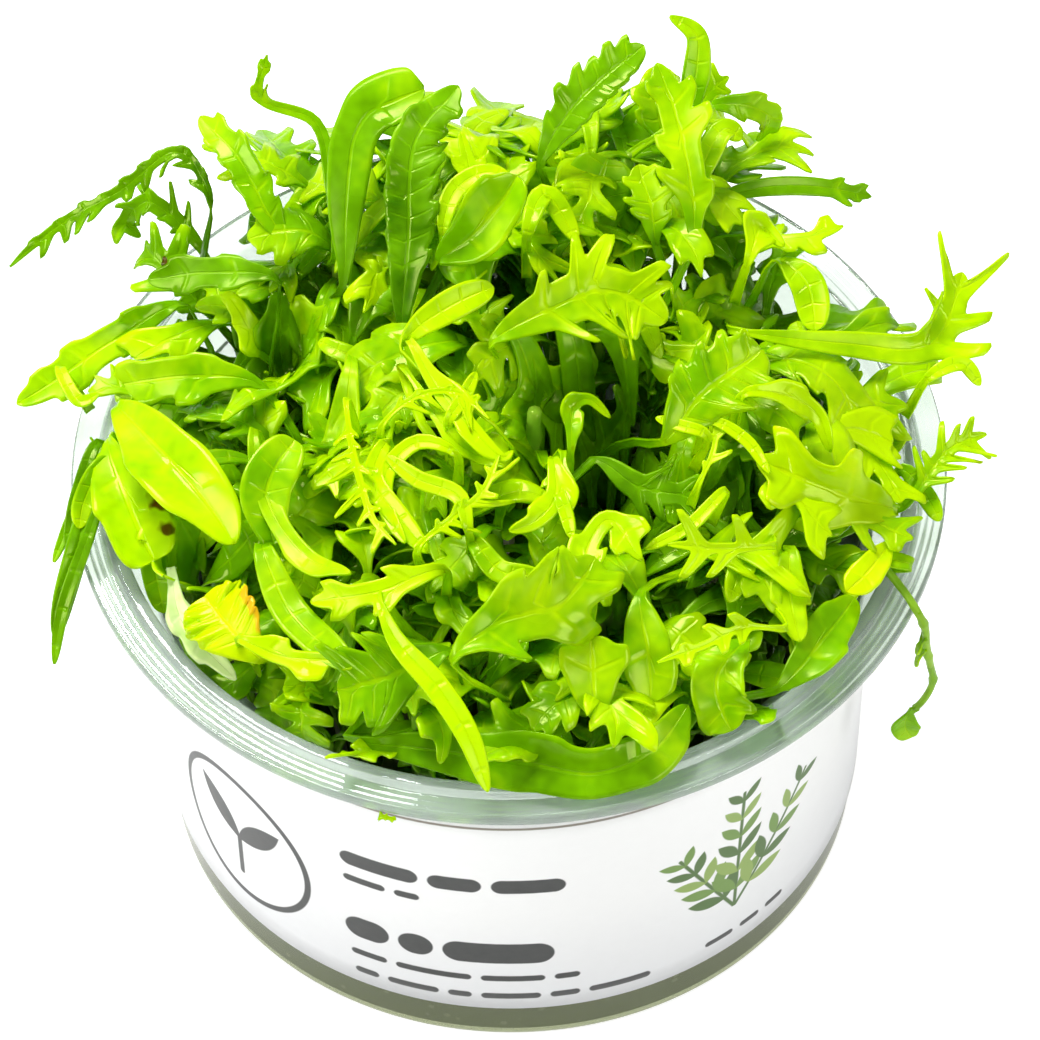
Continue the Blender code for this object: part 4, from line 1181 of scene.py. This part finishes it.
for order, node in enumerate(BIG_LEAVES):
    yellow = "yellow" in node
    points, quads, values = join_surfaces([big_leaf(node, order)])
    piece = make_piece(
        node.replace("leaf_", "blade_"), points, quads, YELLOW_SKIN if yellow else GREEN_SKIN,
        values, replaces=[node],
    )
    add_thickness(piece, LEAF_THICKNESS)
print(len(BIG_LEAVES), "big leaves")

# %% [markdown]
# A stem is a round profile carried along its route. It narrows towards the tip and swells at each node,
# where a pair of leaves leaves it. Stems and leaves of one shoot are made together.

# %% Stems
STEM_SIDES = 8


def stem_surface(route, radii):
    """Rings round the route: centre + radius times (cos a times one cross direction + sin a times the other)."""
    tangent = unit(np.gradient(route, axis=0))
    one = unit(np.cross(tangent, (0.0, 1.0, 0.2)))
    other = np.cross(tangent, one)
    around = np.linspace(0, 2 * math.pi, STEM_SIDES, endpoint=False)[None, :, None]
    rings = route[:, None] + radii[:, None, None] * (np.cos(around) * one[:, None] + np.sin(around) * other[:, None])
    return ringed_solid(rings, route[0], route[-1])


# foot on the gel (x, y) and top (x, y, z), in millimetres, as in the model
STEMS = {
    "stem_middle": ((1, -2), (3, -3, 69)),
    "stem_back_left": ((-19, 12), (-24, 17, 65)),
    "stem_back": ((-2, 19), (-6, 27, 74)),
    "stem_back_right": ((20, 12), (25, 14, 68)),
    "stem_front_right": ((21, -12), (26, -16, 63)),
    "stem_front": ((0, -24), (-3, -28, 61)),
    "stem_left": ((-22, -8), (-28, -6, 62)),
}
FIRST_PAIR_DEG = -30
NEXT_STEM_DEG = 35
PAIRS = 4
PAIR_SPACING = 7.5 * MM
TOP_PAIR_BELOW_TIP = 5.0 * MM
SIDE_LEAF_LENGTH = 14.5 * MM
STEM_RADIUS = 1.25 * MM


def bent_route(foot, top, count=24):
    """A stem leans more near its top: its middle is nearer to the foot's side."""
    foot, top = np.array([*foot, GEL_TOP / MM + 0.3]), np.array(top, float)
    middle = foot * 0.5 + top * 0.5
    middle[:2] = foot[:2] * 0.7 + top[:2] * 0.3
    return smooth_route(np.array([foot, middle, top]) * MM, count)


def node_swells(route, heights, radius):
    """The radius along a stem: it narrows by a third, plus a small bell at the height of each node."""
    share = np.linspace(0, 1, len(route))
    swell = sum(np.exp(-(((route[:, 2] - height) / (0.9 * MM)) ** 2)) for height in heights)
    return radius * (1 - 0.35 * share + 0.25 * swell)


def arching_rib(root, around, rise, bend, turn, length, count=26):
    """A rib and its side directions: the running sum of a direction that changes steadily along it.

    At share s the direction climbs at rise + bend s and heads for around + turn s^2, all in radians.
    """
    s = np.linspace(0, 1, count)
    up, heading = rise + bend * s, around + turn * s**2
    steps = np.stack([np.cos(up) * np.cos(heading), np.cos(up) * np.sin(heading), np.sin(up)], axis=1)
    rib = root + np.vstack([np.zeros((1, 3)), np.cumsum(steps[1:], axis=0)]) * length / (count - 1)
    return rib, np.stack([np.sin(heading), -np.cos(heading), np.zeros(count)], axis=1)


def small_leaf(root, around, rise, bend, turn, length, above_crown, look, rng, rows, columns):
    """A leaf on an arching rib, kept inside the cup and under the crown."""
    rib, side = arching_rib(root, around, rise, bend, turn, length)
    surface = leaf_surface(rib, side, 0.12 * length, look, rng, rows, columns)
    surface["points"] = keep_inside(surface["points"], above_crown)
    # painted shade: the leaf is painted darker the deeper it lies below the crown
    return paint_shade_by_depth(surface)


def make_shoot(name, surfaces, stems, skin, replaces=()):
    """Leaves and their stems as two pieces: the leaves get their thickness, the stems are solid already."""
    points, quads, values = join_surfaces(surfaces)
    piece = make_piece(name, points, quads, skin, values, replaces=replaces)
    add_thickness(piece, LEAF_THICKNESS)
    first, faces, corners = 0, [], []
    for solid_points, solid_faces in stems:
        corners.append(solid_points)
        faces += [tuple(corner + first for corner in face) for face in solid_faces]
        first += len(solid_points)
    corners = np.concatenate(corners)
    # painted shade: the stems are painted darker the deeper they lie below the crown
    depth = np.clip(crown_height(corners[:, 0], corners[:, 1]) - corners[:, 2], 0, 2 * DEEPEST_PAINTED_SHADE)
    tone = 0.75 - 0.6 * PAINTED_SHADE_PER_MM * depth / MM
    plain = {"tone": tone, "vein": np.zeros(len(corners)), "across": np.full(len(corners), 0.5)}
    make_piece(name + "_stem", corners, faces, STEM_SKIN, plain)


for order, (stem, (foot, top)) in enumerate(STEMS.items()):
    rng = np.random.default_rng(300 + order)
    route = bent_route(foot, top)
    leaves, heights = [], []
    for pair in range(PAIRS):
        height = route[-1][2] - TOP_PAIR_BELOW_TIP - pair * PAIR_SPACING
        heights.append(height)
        axis = np.array([np.interp(height, route[:, 2], route[:, k]) for k in range(3)])
        for leaf_side in range(2):
            around = math.radians(FIRST_PAIR_DEG + NEXT_STEM_DEG * order) + pair * math.pi / 2 + leaf_side * math.pi
            look = {**USUAL_LOOK, "half": 3.6 * MM, "lobes": 2, "depth": 0.55, "tone": 0.6}
            leaves.append(small_leaf(
                axis, around, math.radians(52), math.radians(-45), 0, SIDE_LEAF_LENGTH, 0, look, rng, 50, 9,
            ))
    solid = stem_surface(route, node_swells(route, heights, STEM_RADIUS))
    make_shoot(stem.replace("stem_", "shoot_"), leaves, [solid], GREEN_SKIN, replaces=[stem])
print(len(STEMS), "shoots with", 2 * PAIRS, "side leaves each")

# %% [markdown]
# The young shoots stand on a triangular lattice, each moved a little by a seeded generator. Their leaves
# are long straps, some plain and some with a few thin fingers, and each arches, turns and twists in its
# own way. They are joined into five bunches, so that no piece is too heavy.

# %% The young shoots
YOUNG_PITCH = 7.2 * MM
YOUNG_REACH = 37.0 * MM
YOUNG_RADIUS = 0.7 * MM
CLEAR_OF_STEM = 3.0 * MM
MIDDLE_HOLLOW = np.array([9.0, -2.0]) * MM
MIDDLE_HOLLOW_RADIUS = 4.5 * MM
BUNCHES = ("middle", "front", "right", "back", "left")
YOUNG_KINDS = [
    # how often, half width (mm), fingers a side, their depth, their width, the widest place
    (0.20, (1.1, 2.0), (0, 0), (0.0, 0.0), 0.5, 0.55),
    (0.38, (2.8, 4.2), (1, 2), (0.6, 0.78), 0.6, 0.5),
    (0.27, (3.4, 5.0), (2, 3), (0.7, 0.84), 0.62, 0.6),
    (0.15, (3.2, 4.4), (2, 3), (0.3, 0.45), 0.85, 0.45),
]


def young_places(rng):
    """Lattice places within reach, moved by up to a quarter of the pitch, away from the main stems."""
    steps = np.arange(-6, 7)
    column, row = np.meshgrid(steps, steps)
    places = np.stack([
        (column + 0.5 * (row % 2)) * YOUNG_PITCH,
        row * YOUNG_PITCH * math.sqrt(3) / 2,
    ], axis=-1).reshape(-1, 2)
    places = places + rng.uniform(-0.25, 0.25, places.shape) * YOUNG_PITCH
    feet = np.array([foot for foot, top in STEMS.values()]) * MM
    clear = np.linalg.norm(places[:, None] - feet, axis=2).min(axis=1) > CLEAR_OF_STEM
    clear &= np.linalg.norm(places - MIDDLE_HOLLOW, axis=1) > MIDDLE_HOLLOW_RADIUS
    return places[(np.linalg.norm(places, axis=1) < YOUNG_REACH) & clear]


def young_look(rng):
    """One kind of young leaf, drawn by how often it grows, with its own size and tone."""
    kind = YOUNG_KINDS[rng.choice(len(YOUNG_KINDS), p=[kind[0] for kind in YOUNG_KINDS])]
    _, half, fingers, depth, finger, widest = kind
    return {
        **USUAL_LOOK, "half": rng.uniform(*half) * MM, "lobes": int(rng.integers(fingers[0], fingers[1] + 1)),
        "depth": rng.uniform(*depth), "finger": finger, "widest": widest, "curl": 0.5, "base": 0.6,
        "tip": rng.uniform(1.5, 2.6), "sweep": rng.uniform(0.5, 1.2),
        "tone": rng.uniform(0.5, 0.95), "twist": rng.uniform(-70, 70), "ruffle": rng.uniform(0.05, 0.25),
        "fold": rng.uniform(0.0, 0.4),
    }


def young_shoot(place, rng):
    """One young shoot: its leaves as surfaces and its stem as a closed solid."""
    top = place * rng.uniform(1.02, 1.12) + rng.uniform(-1.5, 1.5, 2) * MM
    tip = crown_height(*top) - hollow_depth(*top) - rng.uniform(6, 10) * MM
    route = bent_route(place / MM, (*(top / MM), tip / MM), 14)
    turn = rng.uniform(0, 2 * math.pi)
    leaves, heights = [], []
    for pair, (lengths, rise) in enumerate((((11, 18), (45, 80)), ((13, 21), (25, 65)), ((9, 14), (10, 50)))):
        height = tip - (0.5 + 4.0 * pair) * MM
        heights.append(height)
        axis = np.array([np.interp(height, route[:, 2], route[:, k]) for k in range(3)])
        for leaf_side in range(2):
            around = turn + pair * math.pi / 2 + leaf_side * math.pi + rng.uniform(-0.4, 0.4)
            climb = math.radians(rng.uniform(*rise))
            bend = -climb - math.radians(rng.uniform(-15, 75))
            aside = math.radians(rng.uniform(-70, 70))
            length = rng.uniform(*lengths) * MM
            allowance = rng.uniform(-1.5, 2.5) * MM
            look = young_look(rng)
            rows, columns = (25 + 10 * look["lobes"], 7) if pair == 0 else (17 + 7 * look["lobes"], 5)
            leaves.append(small_leaf(axis, around, climb, bend, aside, length, allowance, look, rng, rows, columns))
    return leaves, stem_surface(route, node_swells(route, heights, YOUNG_RADIUS))


def bunch_of(place):
    """The middle of the cup, or one of the four quarters round it."""
    if np.linalg.norm(place[:2]) < 0.45 * YOUNG_REACH:
        return "middle"
    quarter = int((math.degrees(math.atan2(place[1], place[0])) + 135) // 90) % 4
    return BUNCHES[1 + quarter]


places = young_places(np.random.default_rng(11))
for number, bunch in enumerate(BUNCHES):
    rng = np.random.default_rng(500 + number)
    leaves, stems = [], []
    for place in places:
        if bunch_of(place) == bunch:
            own_leaves, own_stem = young_shoot(place, rng)
            leaves += own_leaves
            stems.append(own_stem)
    make_shoot("young_shoots_" + bunch, leaves, stems, GREEN_SKIN)
    print("the", bunch, "bunch has", len(stems), "shoots")

# %% [markdown]
# On top of the crown lie thin, bright, curling leaves that catch the eye. Each has its own route, given by
# the few points that it passes, and a root that goes down into the crown from its first point.

# %% The curling leaves on top
UPPER_LEAVES = [
    # half width (mm), fingers a side, their depth, tone, and the points of the rib (mm)
    (1.2, 0, 0.0, 0.80, [(-7, 14, 81.5), (-5.5, 18, 83), (-2.5, 19.5, 84), (0.5, 19, 84)]),
    (2.4, 1, 0.7, 0.80, [(-3.5, 18, 82), (-4, 20.5, 84), (-5, 24, 86)]),
    (2.2, 1, 0.6, 0.90, [(27.5, 13, 76.5), (29, 17, 77), (31.5, 15, 76)]),
    (2.4, 1, 0.6, 1.05, [(26.5, -6.5, 76), (31.5, -6, 74.5), (34.5, -6.5, 72), (36, -9.5, 69)]),
    (1.3, 0, 0.0, 0.60, [(-45.5, -4, 62), (-48, -8.5, 60.5), (-48.5, -11.5, 59.5)]),
    (2.2, 1, 0.6, 1.15, [(-11, 1, 77), (-7.5, -5.5, 75.5), (-4, -10, 74.5), (-0.5, -13, 73), (0.5, -12, 73)]),
    (0.8, 0, 0.0, 1.15, [(-6.5, -9, 75), (-5, -6.5, 75.5), (-3.5, -3.5, 76.5)]),
    (1.3, 0, 0.0, 1.05, [(-13.5, -10.5, 73), (-15, -14.5, 71.5), (-12, -19.5, 70.5), (-9, -23.5, 69.5)]),
    (1.0, 0, 0.0, 1.10, [(-6, -12.5, 73.5), (-10, -11, 73.5), (-13.5, -14, 72), (-13.5, -18, 70.5), (-11.5, -22.5, 70)]),
    (1.0, 0, 0.0, 0.90, [(-4.5, -21.5, 71), (-5.5, -18, 72.5), (-10, -15.5, 72.5), (-13.5, -12.5, 73)]),
    (3.6, 2, 0.65, 1.05, [(-7.5, -25.5, 69), (-14.5, -28.5, 69), (-22, -27.5, 66)]),
    (2.6, 2, 0.55, 0.75, [(9, -30.5, 68.5), (8.5, -24, 70), (11, -20, 70.5), (14.5, -25, 69.5)]),
    (2.0, 0, 0.0, 0.60, [(-27.5, -19.5, 66), (-24.5, -27, 64), (-17.5, -36.5, 65.5)]),
    (1.8, 1, 0.4, 0.65, [(-28.5, -5.5, 69.5), (-28, -10.5, 68.5), (-26, -16.5, 67), (-22, -22, 66.5), (-17.5, -25.5, 68.5)]),
    (1.6, 1, 0.6, 0.60, [(7, -8.5, 68.5), (7.5, -3.5, 70.5), (9, -3, 71), (11.5, -4.5, 69.5)]),
    (2.6, 1, 0.6, 0.95, [(5, -11.5, 71), (5, -17, 70.5), (3, -19.5, 70), (0, -21, 70)]),
    (0.8, 0, 0.0, 0.90, [(5.5, -16, 70.5), (6.5, -19.5, 70), (7, -21.5, 69)]),
    (1.3, 0, 0.0, 0.70, [(-4, -21.5, 69), (-1, -25.5, 68.5), (3.5, -26.5, 69)]),
    (1.5, 0, 0.0, 0.70, [(22, 22, 80), (25, 27, 82.5), (27, 26.5, 81.5)]),
    (0.9, 0, 0.0, 1.00, [(48, 2.5, 68), (51.5, 4, 68), (53.5, 2.5, 66)]),
    (1.3, 0, 0.0, 0.80, [(2.5, 12.5, 82), (4.5, 17.5, 82.5), (8, 12.5, 80)]),
    (0.8, 0, 0.0, 0.80, [(-51, 8, 64.5), (-48.5, 3, 64.5), (-46.5, 4, 64.5)]),
    (2.2, 1, 0.3, 0.70, [(31, -20, 64.5), (31, -25, 63), (32, -30, 61)]),
    (2.2, 1, 0.6, 1.10, [(-30, -30.5, 63.5), (-25.5, -33, 63.5), (-18.5, -35.5, 66)]),
    (1.1, 0, 0.0, 0.50, [(44.5, -6.5, 62), (47, -8.5, 60), (48.5, -11.5, 59)]),
    (2.6, 5, 0.6, 0.25, [(-35.5, 26.5, 64), (-39, 29, 67), (-41.5, 30, 68), (-44, 29.5, 65), (-42.5, 29, 63)]),
    (2.8, 6, 0.85, 1.10, [(-18, -5.5, 74.5), (-17.5, -10.5, 73.5), (-16.5, -15, 72), (-15, -20, 71), (-12.5, -23.5, 71)]),
    (2.8, 5, 0.85, 1.10, [(-10, -23.5, 70.5), (-6.5, -20.5, 71.5), (-3, -18, 73), (-1, -13, 73.5)]),
    (2.4, 4, 0.85, 1.05, [(-14, -9, 74), (-10, -6, 75.5), (-5.5, -6, 76), (-2, -9.5, 75.5)]),
    (2.2, 4, 0.85, 1.15, [(21, -15, 70), (23, -10.5, 72), (22.5, -5.5, 73.5), (20.5, -3, 74)]),
    (0.7, 0, 0.0, 1.10, [(22.5, -8, 73), (26.5, -10.5, 72.5), (29, -14, 71)]),
    (0.7, 0, 0.0, 1.10, [(22, -10, 73), (19, -9, 73.5), (16.5, -7.5, 73)]),
    (0.8, 0, 0.0, 1.05, [(24, -16, 70.5), (20, -20.5, 70), (15, -23, 69)]),
    (0.9, 0, 0.0, 0.12, [(-46.5, -1, 62), (-48.5, -7, 60.5), (-50, -12.5, 57.5)]),
    (0.8, 0, 0.0, 0.18, [(-45.5, -8, 60.5), (-48, -14, 58.5), (-50.5, -19.5, 54), (-51.5, -23, 49.5)]),
    (0.7, 0, 0.0, 0.30, [(-46, -4, 61.5), (-49, -9, 59.5), (-51.5, -13.5, 56)]),
    (1.6, 0, 0.0, 0.35, [(-40.5, -10, 59), (-40, -15, 57), (-39, -19, 53.5)]),
]
ROOT_DROP = 7 * MM
FACING = np.array([0.0, -0.5, 0.85])


def upper_leaf(half, fingers, depth, tone, points, rng):
    """A leaf through the given points, facing up and forwards, on a stalk from below its first point."""
    points = np.array(points) * MM
    inwards = -points[0] * np.array([0.06, 0.06, 0])
    stalk = points[0] + inwards - np.array([0, 0, ROOT_DROP])
    route = smooth_route(np.vstack([stalk, points]), 60)
    run = run_along(route)
    start = 0.8 * np.linalg.norm(points[0] - stalk)
    side = unit(np.cross(unit(np.gradient(route, axis=0)), FACING))
    look = {
        **USUAL_LOOK, "half": half * MM, "lobes": fingers, "depth": depth, "finger": 0.45 if fingers < 4 else 0.34,
        "tone": tone, "base": 0.5, "tip": 3.0, "curl": 0.4, "twist": rng.uniform(-25, 25),
        "left": 1.0 if fingers < 4 else 0.35, "right": 1.0 if fingers < 4 else 1.25,
    }
    rows = 34 + 12 * fingers
    return leaf_surface(route, side, min(start, 0.4 * run[-1]), look, rng, rows, 9)


rng = np.random.default_rng(77)
upper = {bunch: [] for bunch in BUNCHES}
for half, fingers, depth, tone, points in UPPER_LEAVES:
    upper[bunch_of(np.mean(points, axis=0) * MM)].append(upper_leaf(half, fingers, depth, tone, points, rng))
for bunch, surfaces in upper.items():
    if surfaces:
        points, quads, values = join_surfaces(surfaces)
        piece = make_piece("upper_leaves_" + bunch, points, quads, GREEN_SKIN, values)
        add_thickness(piece, LEAF_THICKNESS)
print(len(UPPER_LEAVES), "curling leaves lie on top")

# %% [markdown]
# Two torn scraps of leaf lie about, as they do in a cup that has been opened: a dry brown one on the
# leaves at the back left, and a small green one that sticks to the front of the rim. A leaf lies flat
# against the inside of the wall on the left, painted whitish: a painted sheen in its colour stands in for
# the shine on its wet skin.

# %% Scraps of leaf and one with a painted sheen
SCRAPS = [
    # name, half width (mm), how spoilt it is, its skin, the points of its rib (mm)
    ("dry_scrap", 0.8, 1.0, GREEN_SKIN, [(-39.4, 21.4, 67.4), (-37.5, 20.2, 68.6), (-35.6, 18.8, 69.2)]),
    ("green_scrap", 0.4, 0.0, GREEN_SKIN, [(-14.6, -48.1, 54.1), (-13.6, -48.4, 54.1), (-12.8, -48.6, 54.1)]),
    # this leaf's whitish skin is a painted sheen
    ("sheen_painted_leaf", 2.2, 0.0, SHEEN_PAINTED_SKIN, [(-38, -17, 59), (-36.5, -24.5, 59), (-30.5, -32, 58)]),
]

for order, (name, half, spoilt, skin, rib) in enumerate(SCRAPS):
    route = smooth_route(np.array(rib) * MM, 20)
    side = unit(np.cross(unit(np.gradient(route, axis=0)), FACING))
    look = {**USUAL_LOOK, "half": half * MM, "lobes": 2, "tone": 0.8, "blemishes": [(0.5, 0, 9, 9)] if spoilt else ()}
    points, quads, values = join_surfaces([leaf_surface(route, side, 0.0, look, np.random.default_rng(90 + order), 30, 7)])
    add_thickness(make_piece(name, points, quads, skin, values), LEAF_THICKNESS)
print(len(SCRAPS), "scraps of leaf")

# %% [markdown]
# One thin shoot has grown over the rim on the right and hangs down outside. It is a fine tube with slight
# swellings, and three tiny leaves lie along it above its last leaf.

# %% The hanging stem
HANGING_ROUTE = [
    (28, -16, 56), (36, -15.5, 58.3), (41.5, -17.5, 58.6), (43.8, -20.5, 58.3), (45.4, -22.9, 57.3),
    (46.4, -23, 54.5), (46.8, -22.6, 50.5), (47.5, -21.6, 45.5), (48, -21, 42), (47.6, -20.9, 39.6),
    (46.6, -20.9, 37.2), (46.1, -20.9, 36.6),
]
HANGING_RADIUS = 0.55 * MM
HANGING_NODES = (0.55, 0.72, 0.86)
LOBES = [
    # share along the stem, heading (degrees), length (mm)
    (0.62, 200, 3.2),
    (0.68, 190, 3.6),
    (0.5, 20, 2.4),
]

route = smooth_route(np.array(HANGING_ROUTE) * MM, 70)
share = np.linspace(0, 1, len(route))
swell = sum(np.exp(-(((share - node) / 0.012) ** 2)) for node in HANGING_NODES)
points, faces = stem_surface(route, HANGING_RADIUS * (1 - 0.25 * share + 0.3 * swell))
plain = {"tone": 0.62 - 0.25 * share.repeat(STEM_SIDES), "across": np.full(len(points), 0.5)}
plain["tone"] = np.append(plain["tone"], [0.62, 0.37])
make_piece("hanging_stem", points, faces, STEM_SKIN, plain, replaces=["stem_hanging"])
rng = np.random.default_rng(88)
lobes = []
for place, heading, length in LOBES:
    root = route[int(place * (len(route) - 1))]
    rib, side = arching_rib(root, math.radians(heading), math.radians(-62), math.radians(-20), 0, length * MM)
    look = {**USUAL_LOOK, "half": 0.6 * MM, "lobes": 1, "depth": 0.3, "tone": 0.5}
    lobes.append(leaf_surface(rib, side, 0.25 * length * MM, look, rng, 14, 7))
points, quads, values = join_surfaces(lobes)
add_thickness(make_piece("hanging_stem_lobes", points, quads, GREEN_SKIN, values), LEAF_THICKNESS)
print("the hanging stem is", round(run_along(route)[-1] / MM), "mm long")
